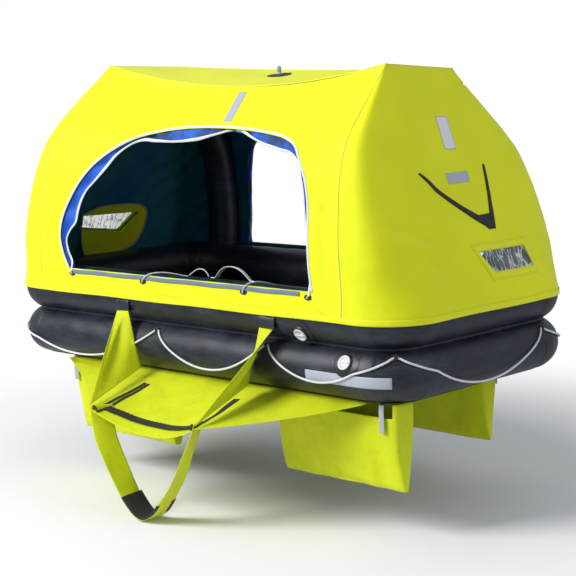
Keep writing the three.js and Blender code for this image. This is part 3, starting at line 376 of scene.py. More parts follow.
def hull_tube(z, joint, seed):
    """Skin of one tube: a circle flattened on its joint side, with puckers beside the joint, wrinkles
    round the inner corners and raised wrap bands where straight lengths meet the corners."""
    bands = marks[1:9] + [0.03, 0, 0, 0, 0, 0, 0, -0.03]
    half_band = 0.024
    s = np.unique(np.concatenate([np.arange(0, perimeter, 0.0125),
                                  (bands[:, None] + [-half_band - 0.002, -half_band, half_band,
                                                     half_band + 0.002]).ravel()]))[:, None]
    angle = (2 * np.pi * np.arange(60) / 60)[None]
    near_band = (np.abs(s - bands[None]) <= half_band + 1e-6).any(1, keepdims=True)
    toward = joint * np.sin(angle)
    corner = sum(bead(s, (marks[k] + marks[k + 1]) / 2, 0.10) for k in (1, 3, 5, 7))
    lift = 0.0011 * near_band * np.ones_like(angle)
    lift = lift + 0.0016 * np.sin(s * 2 * np.pi / 0.047 + 3 * np.sin(9 * s)) * bead(toward, 0.93, 0.10)
    lift = lift + 0.0042 * corner * np.sin(s * 2 * np.pi / 0.036 + seed) * bead(np.cos(angle), -0.8, 0.45)
    points = on_tube(s + 0 * angle, angle + 0 * s, z)
    lift = lift + 0.0011 * ripple(points, 0.16, seed)
    points = on_tube(s + 0 * angle, angle + 0 * s, z, lift)
    height = points[..., 2] - z
    flat = bond - 0.0012
    points[..., 2] = z + np.where(joint * height > flat - 0.008,
                                  joint * (flat - 0.008
                                           + 0.008 * np.tanh((joint * height - flat + 0.008) / 0.010)),
                                  height)
    band = near_band * np.ones_like(angle)
    return patch(points, np.append(s[:, 0], perimeter), tube_radius * np.append(angle[0], 2 * np.pi), True, True,
                 band=band, joint=np.clip(joint * np.sin(angle) + 0 * s, 0, 1))


rubber = Paint("black_rubber_cloth", {"Specular IOR Level": 0.45, "Coat Roughness": 0.3})
dust = rubber.noise(5.5, 6, (1, 1, 2.4), 0.66)
scuff = rubber.noise(34, 5, (0.35, 0.35, 1.6), 0.7)
wear = (dust * 1.5 - 0.52).between(0, 0.55) * (scuff * 1.6 - 0.38).between(0, 0.6)
skin_colour = rubber.blend(wear, (0.0052, 0.0070, 0.0120, 1), (0.032, 0.043, 0.062, 1))
skin_colour = rubber.blend(rubber.layer("band") * 0.35, skin_colour, (0.020, 0.026, 0.036, 1))
grain = rubber.noise(900, 2) * 0.4 + rubber.noise(48, 4) * 0.6
rubber.finish(Base_Color=skin_colour, Roughness=0.24 + 0.26 * dust + 0.1 * scuff,
              Normal=rubber.bump(grain, 0.0014, 0.55))
for level, joint, name in ((lower_z, 1, "lower"), (upper_z, -1, "upper")):
    build(f"{name}_tube_skin", [hull_tube(level, joint, 3 if joint > 0 else 8)], rubber.material,
          [f"{name}_buoyancy_tube"])

# Bonding tape: a folded strip of the same rubber cloth glued along the crease on both sides.
tape_s = np.arange(0, perimeter, 0.02)
for side, name in ((1, "outer"), (-1, "inner")):
    centre, out = outline(tape_s)
    drop = math.sqrt(tube_radius ** 2 - bond ** 2)
    path = centre + side * out * (drop + 0.010)
    path[:, 2] = lower_z + bond
    path += out * (0.0012 * np.sin(tape_s * 91))[:, None]
    build(f"{name}_joint_tape", [ribbon(path, side * out, 0.016, 0.005, -0.002, True)], rubber.material)

# Floor: one sheet of rubber cloth glued under the lower tube, tight at its edge and slack in the middle.
reach = np.linspace(0, 1, 46)[:, None, None]
floor_s = np.arange(0, perimeter, 0.025)
centre, out = outline(floor_s)
edge = centre + 0.014 * out
floor_points = edge[None] * reach
slack = (1 - reach[..., 0] ** 4) * (0.0022 * ripple(floor_points * [1, 1, 0], 0.3, 5) + 0.001)
floor_points[..., 2] = 0.003 + slack * (reach[..., 0] < 0.985)
floor_u = np.concatenate([floor_points[..., 0], floor_points[:, :1, 0]], 1)
floor_v = np.concatenate([floor_points[..., 1], floor_points[:, :1, 1]], 1)
floor = build("floor_sheet", [patch(floor_points, floor_u, floor_v, False, True,
                                    band=np.zeros(floor_points.shape[:2]))],
              rubber.material, ["floor_panel"], weld=1e-5, wall=0.0052)
cloth(floor, 1.18)

# Arch tubes: two inflated black arches that stand on the upper tube and hold up the canopy's ends.
skin = raft_width / 2 + 0.0045
tube_top = upper_z + tube_radius
apex = 1.485
arch_radius = 0.085
cloth_thick = 0.004


def curve(rows):
    """Smooth curve through rows of (place, value) in millimetres, read in metres: cubic pieces whose slope
    at each row is that of the line between its two neighbours."""
    at, value = np.array(rows, float).T / 1000
    slope = np.empty_like(at)
    slope[1:-1] = (value[2:] - value[:-2]) / (at[2:] - at[:-2])
    slope[0] = (value[1] - value[0]) / (at[1] - at[0])
    slope[-1] = (value[-1] - value[-2]) / (at[-1] - at[-2])

    def read(x):
        x = np.clip(x, at[0], at[-1])
        i = np.clip(np.searchsorted(at, x, side="right") - 1, 0, len(at) - 2)
        h = at[i + 1] - at[i]
        t = (x - at[i]) / h
        return ((2 * t**3 - 3 * t**2 + 1) * value[i] + (t**3 - 2 * t**2 + t) * h * slope[i]
                + (3 * t**2 - 2 * t**3) * value[i + 1] + (t**3 - t**2) * h * slope[i + 1])
    return read


hem_mm = upper_z * 1000
skin_mm = skin * 1000
depth = {False: curve([(hem_mm, skin_mm), (480, skin_mm), (700, skin_mm - 4), (880, 668), (1010, 640), (1110, 602),
                       (1190, 548), (1250, 492), (1370, 366), (1485, 246)]),
         True: curve([(hem_mm, skin_mm), (480, skin_mm), (700, skin_mm - 8), (880, 655), (1010, 620), (1090, 585),
                      (1160, 535), (1220, 482), (1350, 362), (1485, 246)])}
seam = {(False, 1): curve([(hem_mm, 1035), (480, 1040), (700, 1026), (960, 1006), (1190, 986), (1485, 946)]),
        (False, -1): curve([(hem_mm, 1035), (480, 1040), (700, 1030), (960, 1016), (1190, 992), (1485, 946)]),
        (True, 1): curve([(hem_mm, 1035), (480, 1032), (700, 1010), (960, 975), (1190, 948), (1485, 942)]),
        (True, -1): curve([(hem_mm, 1000), (480, 985), (700, 965), (960, 952), (1190, 944), (1485, 936)])}
end_reach = curve([(hem_mm, 1354.5), (hem_mm + 37, 1351), (480, 1328), (600, 1288), (880, 1192), (1200, 1072),
                   (1400, 984), (1485, 946)])
arch_x = curve([(hem_mm, 1062), (700, 1050), (960, 1018), (1190, 962), (1300, 930), (1400, 900), (1485, 885)])


def ridge(back, x):
    """Height of the arch tops along the raft: a straight line between them less a parabola's sag."""
    u = np.clip((x + 0.946) / 1.892, 0, 1)
    left, right, sag = (1.495, 1.436, 0.014) if back else (1.505, 1.462, 0.104)
    return left + (right - left) * u - sag * (1 - (2 * u - 1) ** 2)


def height(back, x, level):
    """Real height of a nominal level, which scales with the ridge above it."""
    return upper_z + (level - upper_z) * (ridge(back, x) - upper_z) / (apex - upper_z)


def level_of(back, x, z):
    return upper_z + (z - upper_z) * (apex - upper_z) / (ridge(back, x) - upper_z)


def arch_path(side):
    """Arch centreline: each leg keeps one distance inside the cloth, and the top bar crosses under it."""
    def leg(back):
        points = []
        for level in (0.4, 0.48, 0.6, 0.8, 0.96, 1.08, 1.17, 1.25, 1.33):
            shift = seam[back, side](level) - seam[False, 1](level)
            x = side * (arch_x(level) + shift)
            rise = height(back, x, level + 0.008) - height(back, x, level - 0.008)
            run = depth[back](level + 0.008) - depth[back](level - 0.008)
            off = arch_radius + cloth_thick + 0.004 + 0.010 * np.clip((level - 0.9) / 0.4, 0, 1)
            y = depth[back](level) - off * rise / math.hypot(rise, run)
            z = height(back, x, level) + off * run / math.hypot(rise, run)
            points.append((float(x), float(y if back else -y), float(z)))
        return points
    x = side * 0.884
    top = [(x, y, float(ridge(y > 0, x)) - arch_radius - cloth_thick - 0.022) for y in (-0.15, -0.06, 0.06, 0.15)]
    return smooth_path(leg(False) + top + leg(True)[::-1], 170)


for side, name in ((-1, "left"), (1, "right")):
    path = arch_path(side)
    gone = lengths(path)
    ends = np.clip(np.minimum(gone, gone[-1] - gone) / 0.05, 0, 1)
    bend = bead(gone, 0.62, 0.12) + bead(gone, gone[-1] - 0.62, 0.12)
    width = arch_radius * (0.985 + 0.006 * np.sin(gone * 63) * bend - 0.012 * bend)
    arch = tube(path, width, 36, (1, 0, 0), strands=1, pitch=0.9, relief=0.003)
    arch[3]["band"] = np.zeros(len(arch[0]))
    build(f"{name}_arch_skin", [arch], rubber.material, [f"{name}_arch_tube"], weld=1e-5)

# Canopy. Panels of coated fluorescent yellow cloth, sewn along felled seams at the arches and the front
# ridge and glued by a folded hem to the upper tube's widest line. It pulls in folds from the arches.
door_edge = np.array([(-802, 483), (-846, 560), (-866, 640), (-850, 740), (-765, 885), (-655, 1000), (-545, 1078),
                      (-430, 1136), (-300, 1164), (-100, 1184), (150, 1184), (300, 1176), (450, 1162),
                      (590, 1140), (680, 1105), (738, 1045), (790, 975), (822, 895), (836, 810), (842, 700),
                      (850, 600), (866, 483)]) / 1000
front_folds = [(-0.99, 1.19, -0.42, 1.215, 0.016, 0.010), (-0.99, 1.16, -0.50, 1.17, 0.013, 0.008),
               (-0.98, 1.13, -0.62, 1.10, 0.016, -0.007), (-0.97, 1.22, -0.55, 1.30, 0.03, 0.007),
               (-1.03, 0.72, -0.93, 0.36, 0.016, 0.012), (-1.02, 0.80, -0.90, 0.50, 0.02, -0.009),
               (0.74, 1.20, 1.00, 1.16, 0.018, 0.010), (0.72, 1.16, 1.00, 1.08, 0.022, -0.008),
               (0.84, 0.98, 1.01, 0.94, 0.02, 0.006), (0.86, 0.83, 1.02, 0.86, 0.02, -0.006),
               (0.92, 1.05, 0.93, 0.45, 0.026, 0.008), (0.10, 1.39, 0.78, 1.42, 0.05, -0.006),
               (-0.60, 1.34, 0.0, 1.30, 0.07, -0.006), (0.84, 0.50, 0.98, 0.37, 0.014, 0.008),
               (-0.30, 0.46, 0.10, 0.40, 0.012, 0.005), (0.20, 0.44, 0.62, 0.40, 0.012, 0.005)]
back_folds = [(-0.95, 1.17, -0.35, 1.21, 0.02, 0.010), (0.95, 1.15, 0.42, 1.20, 0.02, 0.010),
              (0.98, 0.80, 0.88, 0.40, 0.02, 0.010), (-0.95, 0.84, -0.87, 0.45, 0.02, 0.009),
              (-0.4, 1.30, 0.5, 1.27, 0.06, -0.007)]
end_folds = {1: [(-0.60, 0.80, 0.02, 0.66, 0.022, -0.011), (-0.58, 0.735, -0.06, 0.612, 0.017, 0.012),
                 (-0.55, 0.675, -0.12, 0.575, 0.018, -0.010), (-0.50, 0.86, -0.04, 0.74, 0.028, 0.008),
                 (-0.44, 1.04, -0.18, 0.93, 0.022, 0.008), (-0.42, 0.99, -0.20, 0.89, 0.018, -0.007),
                 (-0.52, 0.62, -0.30, 0.45, 0.03, 0.010), (-0.14, 0.57, -0.03, 0.41, 0.016, 0.008),
                 (0.36, 0.78, 0.33, 0.45, 0.035, 0.010), (-0.35, 1.30, -0.15, 1.12, 0.03, 0.007)],
             -1: [(-0.60, 0.78, -0.10, 0.80, 0.03, 0.010), (-0.55, 0.60, -0.34, 0.45, 0.03, 0.010),
                  (0.55, 0.72, 0.20, 0.76, 0.03, 0.009), (0.5, 0.95, 0.1, 1.0, 0.04, -0.009),
                  (-0.5, 1.0, -0.1, 1.04, 0.04, 0.009)]}


def folds(a, b, rows):
    """Soft folds: each rises beside a straight line as a bell of its width and fades out at both ends."""
    total = np.zeros(np.broadcast(a, b).shape)
    for a0, b0, a1, b1, width, rise in rows:
        along = np.array([a1 - a0, b1 - b0])
        t = ((a - a0) * along[0] + (b - b0) * along[1]) / (along @ along)
        bow = 0.05 * np.hypot(*along) * np.sin(np.pi * np.clip(t, 0, 1))
        off = ((a - a0) * along[1] - (b - b0) * along[0]) / np.hypot(*along) - bow
        spread = width * (0.6 + 0.8 * np.clip(t, 0, 1))
        total += rise * np.exp(-(off / spread) ** 2) * np.sin(np.pi * np.clip(t, 0, 1)) ** 0.7
    return total


def side_cloth(back, x, z, lift=0.0, liner=False):
    """Point of a long side's cloth at a place in its plane, lifted off it and moved by the folds."""
    level = level_of(back, x, z)
    y = depth[back](level)
    lean = (depth[back](level + 0.004) - depth[back](level - 0.004)) / 0.008
    steep = np.sqrt(1 + lean ** 2)
    left, right = seam[back, -1](level), seam[back, 1](level)
    calm = np.clip(np.minimum(x + left, right - x) / 0.06, 0, 1) * np.clip((level - upper_z) / 0.05, 0, 1)
    flat = np.stack([x, y, z], -1)
    rough = folds(x, z, back_folds if back else front_folds) + 0.0028 * ripple(flat, 0.42, 11 + back)
    rough = rough + 0.0008 * ripple(flat, 0.10, 21 + back)
    if liner:
        rough = np.minimum(rough, 0) + liner_folds(flat) - 0.010
        lift = lift - 0.0065
    move = lift + rough * calm
    y = y + move / steep
    return np.stack([x + 0 * y, y if back else -y, z - move * lean / steep], -1)


def liner_folds(spot):
    """Slack lining: slanting pleats up to 13 mm in or out, in bands that come and go."""
    slant = spot[..., 2] * 0.9 - (spot[..., 0] + spot[..., 1]) * 0.62
    swing = ripple(spot, 0.55, 31) * 1.4
    pleats = 0.010 * np.sin(slant * 46 + 4.2 * swing) * (0.55 + 0.45 * ripple(spot, 0.38, 33))
    return pleats + 0.003 * ripple(spot, 0.07, 35)


def hull_corner(out, across, foot, deep, reach):
    """Where a ray from the seam's foot meets the hull's rounded corner in plan."""
    r = corner_radius + 0.0045
    a = reach - foot
    t = np.arctan2(deep * across, a * out)
    dc, ds = np.cos(t), np.sin(t)
    cx, cy = a - r, deep - r
    dot = cx * dc + cy * ds
    hit = dot + np.sqrt(np.maximum(dot ** 2 - cx ** 2 - cy ** 2 + r ** 2, 0))
    x, y = foot + hit * dc, hit * ds
    on_end = ds * a <= dc * (deep - r)
    on_side = dc * deep <= ds * (a - r)
    x, y = np.where(on_end, foot + a, x), np.where(on_end, a * ds / np.maximum(dc, 1e-9), y)
    return np.where(on_side, foot + deep * dc / np.maximum(ds, 1e-9), x), np.where(on_side, deep, y)


def end_shape(side, q, level):
    """An end's cloth from the front seam (q = -1) to the back one (q = 1): the hull's rounded corner in
    plan at the hem, and a flatter rounded plan between the arches above it."""
    q, level = np.broadcast_arrays(np.asarray(q, float), np.asarray(level, float))
    fs, bs = seam[False, side](level), seam[True, side](level)
    fd, bd = depth[False](level), depth[True](level)
    fz, bz = height(False, side * fs, level), height(True, side * bs, level)
    n = 4.2 + 1.3 * np.clip((level - 0.5) / 0.5, 0, 1)
    m = 0.5 ** (1 / n)
    h = np.abs(q)
    out = np.where(h > 0.5, 2 * m * (1 - h), np.maximum(1 - np.minimum(2 * m * h, 1) ** n, 0) ** (1 / n))
    across = np.where(h > 0.5, np.maximum(1 - np.maximum(out, 0) ** n, 0) ** (1 / n), 2 * m * h)
    share = (1 + np.sign(q) * across) / 2
    x = side * (fs + (bs - fs) * share)
    y = -fd + (bd + fd) * share
    z = fz + (bz - fz) * share
    reach = end_reach(level)
    x = x + side * np.maximum(reach - np.abs(x), 0) * out
    hx, hy = hull_corner(out, across, np.where(q < 0, fs, bs), np.where(q < 0, fd, bd), reach)
    w = np.clip((level - upper_z - 0.06) / 0.18, 0, 1)
    x = side * hx + (x - side * hx) * w
    y = np.sign(q) * hy + (y - np.sign(q) * hy) * w
    return np.stack([x, y, z], -1)


def end_cloth(side, q, level, lift=0.0, liner=False):
    """Point of an end's cloth moved along its normal by the lift and the folds, which die at the seams."""
    base = end_shape(side, q, level)
    e = 0.004
    dq = end_shape(side, np.clip(q + e, -1, 1), level) - end_shape(side, np.clip(q - e, -1, 1), level)
    dl = end_shape(side, q, level + e) - end_shape(side, q, level - e)
    n = np.cross(dq, dl) * side
    n /= np.maximum(np.linalg.norm(n, axis=-1, keepdims=True), 1e-12)
    calm = np.clip((1 - np.abs(q)) / 0.08, 0, 1) * np.clip((level - upper_z) / 0.05, 0, 1)
    calm = calm * np.clip((apex - level) / 0.05, 0, 1)
    rough = folds(base[..., 1], level + 0 * q, end_folds[side]) + 0.0030 * ripple(base, 0.40, 17 + side)
    rough = rough + 0.0008 * ripple(base, 0.10, 27 + side)
    if liner:
        rough = np.minimum(rough, 0) + liner_folds(base) - 0.010
        lift = lift - 0.0065
    return base + n * (lift + rough * calm)[..., None]


def q_of(side, y, level):
    """The q of an end at a width and level, by halving."""
    low, high = -np.ones(np.broadcast(y, level).shape), np.ones(np.broadcast(y, level).shape)
    for _ in range(26):
        mid = (low + high) / 2
        below = end_shape(side, mid, level)[..., 1] < y
        low, high = np.where(below, mid, low), np.where(below, high, mid)
    return low


def roof_cloth(u, v, lift=0.0, liner=False):
    """Roof strip: straight from the front ridge (v = 0) to the back one, slack between the arches."""
    ends = []
    for back in (False, True):
        left, right = seam[back, -1](apex), seam[back, 1](apex)
        x = -left + (left + right) * u
        ends.append(np.stack([x, (depth[back](apex) if back else -depth[back](apex)) + 0 * x, ridge(back, x)], -1))
    point = ends[0] + (ends[1] - ends[0]) * np.asarray(v)[..., None]
    calm = np.clip(np.minimum(u, 1 - u) / 0.06, 0, 1) * (4 * v * (1 - v)) ** 0.5
    rough = 0.0035 * ripple(point, 0.30, 41) + 0.003 * np.sin(14 * u + 5 * v) * calm
    sag = -0.006 * 4 * v * (1 - v) * 4 * u * (1 - u)
    point[..., 2] += (rough + sag) * calm + lift + (-0.0065 if liner else 0) + 0.002 * (not liner)
    return point


def loop_at(loop, centre, angles):
    """Where rays from a centre at given angles meet a closed loop."""
    away = loop - centre
    turn = np.unwrap(np.arctan2(away[:, 1], away[:, 0]))
    if turn[-1] < turn[0]:
        turn, loop = turn[::-1], loop[::-1]
    turn = np.concatenate([turn + 2 * np.pi * k for k in range(-2, 3)])
    loop = np.concatenate([loop] * 5)
    return np.column_stack([np.interp(angles, turn, loop[:, c]) for c in (0, 1)])


def dense(loop, steps=40):
    """Closed loop with each edge cut into short steps."""
    after = np.roll(loop, -1, 0)
    t = np.arange(steps)[None, :, None] / steps
    return (loop[:, None] * (1 - t) + after[:, None] * t).reshape(-1, 2)


def between_loops(inner, outer, centre, count, shares):
    """Grid of points between two loops round a centre: straight spokes that also pass both loops' corners."""
    corners = []
    for loop in (inner, outer):
        before, after = loop - np.roll(loop, 1, 0), np.roll(loop, -1, 0) - loop
        bend = np.abs(np.angle((after[:, 0] + 1j * after[:, 1]) / (before[:, 0] + 1j * before[:, 1] + 1e-12)))
        sharp = loop[bend > 0.6] - centre
        corners.append(np.mod(np.arctan2(sharp[:, 1], sharp[:, 0]), 2 * np.pi))
    angles = np.unique(np.round(np.concatenate([np.linspace(0, 2 * np.pi, count, endpoint=False), *corners]), 5))
    angles = angles[np.concatenate([[True], np.diff(angles) > 2e-3])]
    a, b = loop_at(inner, centre, angles), loop_at(outer, centre, angles)
    return a[None] * (1 - shares[:, None, None]) + b[None] * shares[:, None, None]


def side_outline(back):
    """Edge of a long side in its plane: hem, right seam, ridge and left seam."""
    levels = np.linspace(upper_z, apex, 60)
    u = np.linspace(0, 1, 90)
    hem = np.column_stack([-seam[back, -1](upper_z) + (seam[back, -1](upper_z) + seam[back, 1](upper_z)) * u,
                           0 * u + upper_z])
    right = np.column_stack([seam[back, 1](levels), height(back, seam[back, 1](levels), levels)])
    left = np.column_stack([-seam[back, -1](levels), height(back, -seam[back, -1](levels), levels)])
    x = right[-1, 0] + (left[-1, 0] - right[-1, 0]) * u
    top = np.column_stack([x, ridge(back, x)])
    return np.concatenate([hem[:-1], right[:-1], top[:-1], left[::-1][:-1]])


shares = np.concatenate([[0, 0.02, 0.05], np.linspace(0.09, 0.95, 25), [0.985, 1]])
mid_side = np.array([0.0, 0.80])


def door_loop(back):
    """Door edge as a dense closed loop: a smooth curve through its points, shut by the straight sill."""
    flip = -1 if back else 1
    arc = smooth_path(door_edge * [flip, 1], 260)
    sill = np.linspace(arc[-1], arc[0], 60)[1:-1]
    return np.concatenate([arc, sill])


def side_patch(back, liner=False):
    grid = between_loops(door_loop(back), side_outline(back), mid_side, 520, shares)
    x, z = grid[..., 0], grid[..., 1]
    points = side_cloth(back, x, z, 0.0, liner)
    level = level_of(back, x, z)
    edge = np.minimum(np.minimum(seam[back, 1](level) - x, x + seam[back, -1](level)),
                      np.minimum(apex - level, level - upper_z))
    x = np.concatenate([x, x[:, :1]], 1)
    z = np.concatenate([z, z[:, :1]], 1)
    return patch(points, x, z, False, True, edge=edge)


windows = {-1: np.array([(-253, 702), (150, 696), (40, 592), (-250, 628)]) / 1000,
           1: np.array([(-30, 622), (312, 622), (352, 523), (52, 523)]) / 1000}


def end_patch(side, liner=False):
    """An end's grid follows its window's slanting edges, and the cells inside them are left out."""
    quad = windows[side]
    top, bottom = quad[:2, 1].max(), quad[2:, 1].min()
    levels = np.concatenate([np.linspace(upper_z, bottom, 16), np.linspace(bottom, top, 9)[1:],
                             np.linspace(top, apex, 50)[1:]])[None]
    t = np.clip((levels - quad[3, 1]) / (quad[0, 1] - quad[3, 1]), 0, 1)
    left = q_of(side, quad[3, 0] + (quad[0, 0] - quad[3, 0]) * t, levels)
    t = np.clip((levels - quad[2, 1]) / (quad[1, 1] - quad[2, 1]), 0, 1)
    right = q_of(side, quad[2, 0] + (quad[1, 0] - quad[2, 0]) * t, levels)
    parts = [np.linspace(0, 1, k)[:, None] for k in (36, 21, 36)]
    q = np.concatenate([-1 + (left + 1) * parts[0][:-1], left + (right - left) * parts[1][:-1],
                        right + (1 - right) * parts[2]])
    levels = levels + 0 * q
    slope_top = quad[0, 1] + (quad[1, 1] - quad[0, 1]) * np.clip((q - left) / (right - left), 0, 1)
    slope_bottom = quad[3, 1] + (quad[2, 1] - quad[3, 1]) * np.clip((q - left) / (right - left), 0, 1)
    at_top = np.abs(levels - top) < 1e-9
    at_bottom = np.abs(levels - bottom) < 1e-9
    inside = (levels > bottom) & (levels < top)
    t = (levels - bottom) / (top - bottom)
    near = np.exp(-np.where(levels > top, (levels - top), np.where(levels < bottom, bottom - levels, 0)) / 0.05)
    shift = np.where(levels >= top, slope_top - top, np.where(levels <= bottom, slope_bottom - bottom,
                     (slope_bottom - bottom) * (1 - t) + (slope_top - top) * t))
    fade = np.exp(-np.maximum(np.maximum(left - q, q - right), 0) / 0.15)
    levels = levels + shift * near * fade
    levels[:, 0] = upper_z
    levels[:, -1] = apex
    cell = q.shape[0] - 1, q.shape[1] - 1
    hole = np.zeros(cell, bool)
    hole[35:55, 15:23] = True
    points = end_cloth(side, q, levels, 0.0, liner)
    edge = np.minimum(np.minimum(1 - np.abs(q), 1) * 0.55, np.minimum(levels - upper_z, apex - levels))
    return patch(points, q * 0.9, levels, holes=hole, edge=edge)


def roof_patch(liner=False):
    u, v = np.meshgrid(np.linspace(0, 1, 150), np.linspace(0, 1, 40), indexing="ij")
    edge = np.minimum(np.minimum(u, 1 - u) * 1.89, np.minimum(v, 1 - v) * 0.49)
    return patch(roof_cloth(u, v, 0.0, liner), u * 1.89, v * 0.49, edge=edge)


def weave(paint, threads=0.0021):
    """Plain weave height from the pattern coordinates: warp and weft waves that cross."""
    u, v = paint.along()
    step = 2 * math.pi / threads
    return (u * step).sine() * (v * step).sine() * 0.5 + 0.5


def stitch(paint, spacing=0.0045):
    """Two rows of stitches beside a seam, from the piece's edge layer; 1 on a thread and 0 elsewhere."""
    edge = paint.layer("edge")
    row = 1 - ((edge - 0.007).size() / 0.0012).between(0.5, 1)
    second = 1 - ((edge - 0.015).size() / 0.0012).between(0.5, 1)
    u, v = paint.along()
    dash = (((u + v) * (2 * math.pi / spacing)).sine() + 0.6).between(0, 0.5)
    return (row + second) * dash


yellow = Paint("coated_yellow_cloth", {"Sheen Weight": 0.12, "Sheen Roughness": 0.4, "Specular IOR Level": 0.3})
cloud = yellow.noise(2.6, 4, (1, 1, 1), 0.5)
creased = yellow.noise(17, 5, (1.6, 1.6, 0.8), 0.6)
yellow_colour = yellow.blend(cloud.between(0.35, 0.7), (0.790, 0.830, 0.0015, 1), (0.860, 0.880, 0.002, 1))
yellow_colour = yellow.blend(stitch(yellow) * 0.5, yellow_colour, (0.60, 0.62, 0.04, 1))
lap = 1 - (yellow.layer("edge") / 0.022).between(0.86, 1)
yellow_colour = yellow.blend(lap * 0.25, yellow_colour, (0.90, 0.93, 0.05, 1))
yellow.finish(Base_Color=yellow_colour, Roughness=0.52 + 0.16 * creased,
              Normal=yellow.bump(weave(yellow) * 0.12 + creased * 0.8 + stitch(yellow) * 0.25 + lap * 0.45,
                                 0.0034, 0.75))
canopy = build("canopy_skin", [side_patch(False)], yellow.material, ["canopy_front_side"],
               wall=0.0016)
canopy_back = build("canopy_back_skin", [side_patch(True)], yellow.material,
                    ["canopy_back_side"], wall=0.0016)
canopy_roof = build("canopy_roof_skin", [roof_patch()], yellow.material, ["canopy_roof"],
                    wall=0.0016)
canopy_ends = {side: build(f"canopy_{name}_end_skin", [end_patch(side)], yellow.material,
                           [f"canopy_{name}_end"], wall=0.0016) for side, name in ((-1, "left"), (1, "right"))}
for piece, width, share in ((canopy, 1.28, 0.507), (canopy_back, 1.25, 0.502), (canopy_roof, 0.50, 1.0),
                            (canopy_ends[-1], 1.3, 0.7), (canopy_ends[1], 1.3, 0.7)):
    cloth(piece, width, share)

# Seam piping and hem. A light cord is sewn into each seam, and the cloth's hem is glued to the upper
# tube under a folded band; a grey-blue strip of tube cloth closes it below each door.
light_yellow = Paint("light_yellow_piping", {"Specular IOR Level": 0.3})
pale = light_yellow.noise(40, 3)
light_yellow.finish(Base_Color=light_yellow.blend(pale, (0.86, 0.88, 0.08, 1), (0.70, 0.72, 0.02, 1)),
                    Roughness=0.55 + 0.1 * pale, Normal=light_yellow.bump(pale, 0.001, 0.5))
rises = np.linspace(upper_z + 0.004, apex, 160)
piping_lines = []
for back in (False, True):
    ways = 1 if back else -1
    for side in (-1, 1):
        x = side * seam[back, side](rises)
        line = np.stack([x, ways * (depth[back](rises) + 0.001), height(back, x, rises)], -1)
        piping_lines.append(tube(line, 0.0030, 8, (side * 0.7, ways * 0.7, 0.1)))
    x = np.linspace(-seam[back, -1](apex), seam[back, 1](apex), 160)
    line = np.stack([x, 0 * x + ways * depth[back](apex), ridge(back, x) + 0.002], -1)
    piping_lines.append(tube(line, 0.0030, 8, (0, ways * 0.7, 0.7)))
build("canopy_seam_piping", piping_lines, light_yellow.material, weld=1e-6)
hem_s = np.arange(0, perimeter, 0.015)
centre, out = outline(hem_s)
path = centre + out * (tube_radius + 0.0068 + 0.0005 * np.sin(hem_s * 47))[:, None]
path[:, 2] = upper_z + 0.013 + 0.0015 * np.sin(hem_s * 9)
hem = ribbon(path, out, 0.028, 0.0016, 0.0006, True)
hem[3]["edge"] = np.full(len(hem[0]), 0.02)
build("canopy_hem_band", [hem], yellow.material)
sill = Paint("grey_blue_sill_cloth", {"Specular IOR Level": 0.4})
sill_tone = sill.noise(14, 4)
sill.finish(Base_Color=sill.blend(sill_tone, (0.10, 0.13, 0.18, 1), (0.20, 0.24, 0.30, 1)),
            Roughness=0.5 + 0.2 * sill_tone, Normal=sill.bump(sill_tone, 0.0015, 0.6))
for ways, name in ((-1, "front"), (1, "back")):
    x = np.linspace(-0.79, 0.80, 160) * -ways
    path = side_cloth(ways > 0, x, 0.4690 + 0.0012 * np.sin(x * 19), 0.0024)
    build(f"{name}_sill_band", [ribbon(path, (0, ways, 0.15), 0.021, 0.0020, 0.0006)], sill.material,
          weld=1e-6)

# Lining: thin blue-green cloth that hangs slack inside the canopy, tacked to it along the seams.
lining = Paint("blue_green_lining", {"Sheen Weight": 0.1, "Sheen Roughness": 0.5, "Specular IOR Level": 0.25})
tone = lining.noise(1.9, 3)
fine = lining.noise(12, 5, (1, 1, 0.6))
lining_colour = lining.blend(tone.between(0.35, 0.65), (0.006, 0.110, 0.260, 1), (0.010, 0.210, 0.190, 1))
lining_colour = lining.blend(fine.between(0.4, 0.8) * 0.4, lining_colour, (0.004, 0.050, 0.105, 1))
lining.finish(Base_Color=lining_colour, Roughness=0.55 + 0.2 * fine,
              Normal=lining.bump(weave(lining) * 0.15 + fine, 0.003, 0.5))
inside = build("canopy_lining", [side_patch(False, True), side_patch(True, True), end_patch(-1, True),
                                 end_patch(1, True), roof_patch(True)], lining.material)
cloth(inside, 2.8, 0.7)

# Door trim. Round each door runs a white zip tape; inside it hangs the rolled door's blue edge, bound
# with a white tape that droops between its ties and ends at the sill's outer eyelets.
zip_tape = Paint("white_zip_tape", {"Specular IOR Level": 0.35})
teeth_u, teeth_v = zip_tape.along()
teeth = (teeth_u * (2 * math.pi / 0.0042)).sine() * (1 - (teeth_v.size() / 0.0028).between(0.6, 1))
tape_tone = zip_tape.noise(30, 3)
zip_tape.finish(Base_Color=zip_tape.blend(tape_tone * 0.6, (0.86, 0.86, 0.85, 1), (0.60, 0.62, 0.66, 1)),
                Roughness=0.62 + 0.1 * tape_tone, Normal=zip_tape.bump(teeth + tape_tone, 0.0012, 0.8))
door_blue = Paint("blue_door_cloth", {"Sheen Weight": 0.15, "Sheen Roughness": 0.4})
# Painted shade: towards the top of the door, where the roof shades it, the blue turns dark in patches.
up_z = door_blue.node("SeparateXYZ", {}, {"Vector": door_blue.place()}, 2)
painted_top_shade = up_z.between(1.06, 1.14) * door_blue.noise(9, 3).between(0.35, 0.6)
blue = door_blue.blend(painted_top_shade, (0.0035, 0.105, 0.62, 1), (0.002, 0.030, 0.075, 1))
door_blue.finish(Base_Color=blue, Roughness=0.5 + 0.2 * door_blue.noise(20, 3),
                 Normal=door_blue.bump(weave(door_blue) * 0.2 + door_blue.noise(26, 4), 0.003, 0.6))
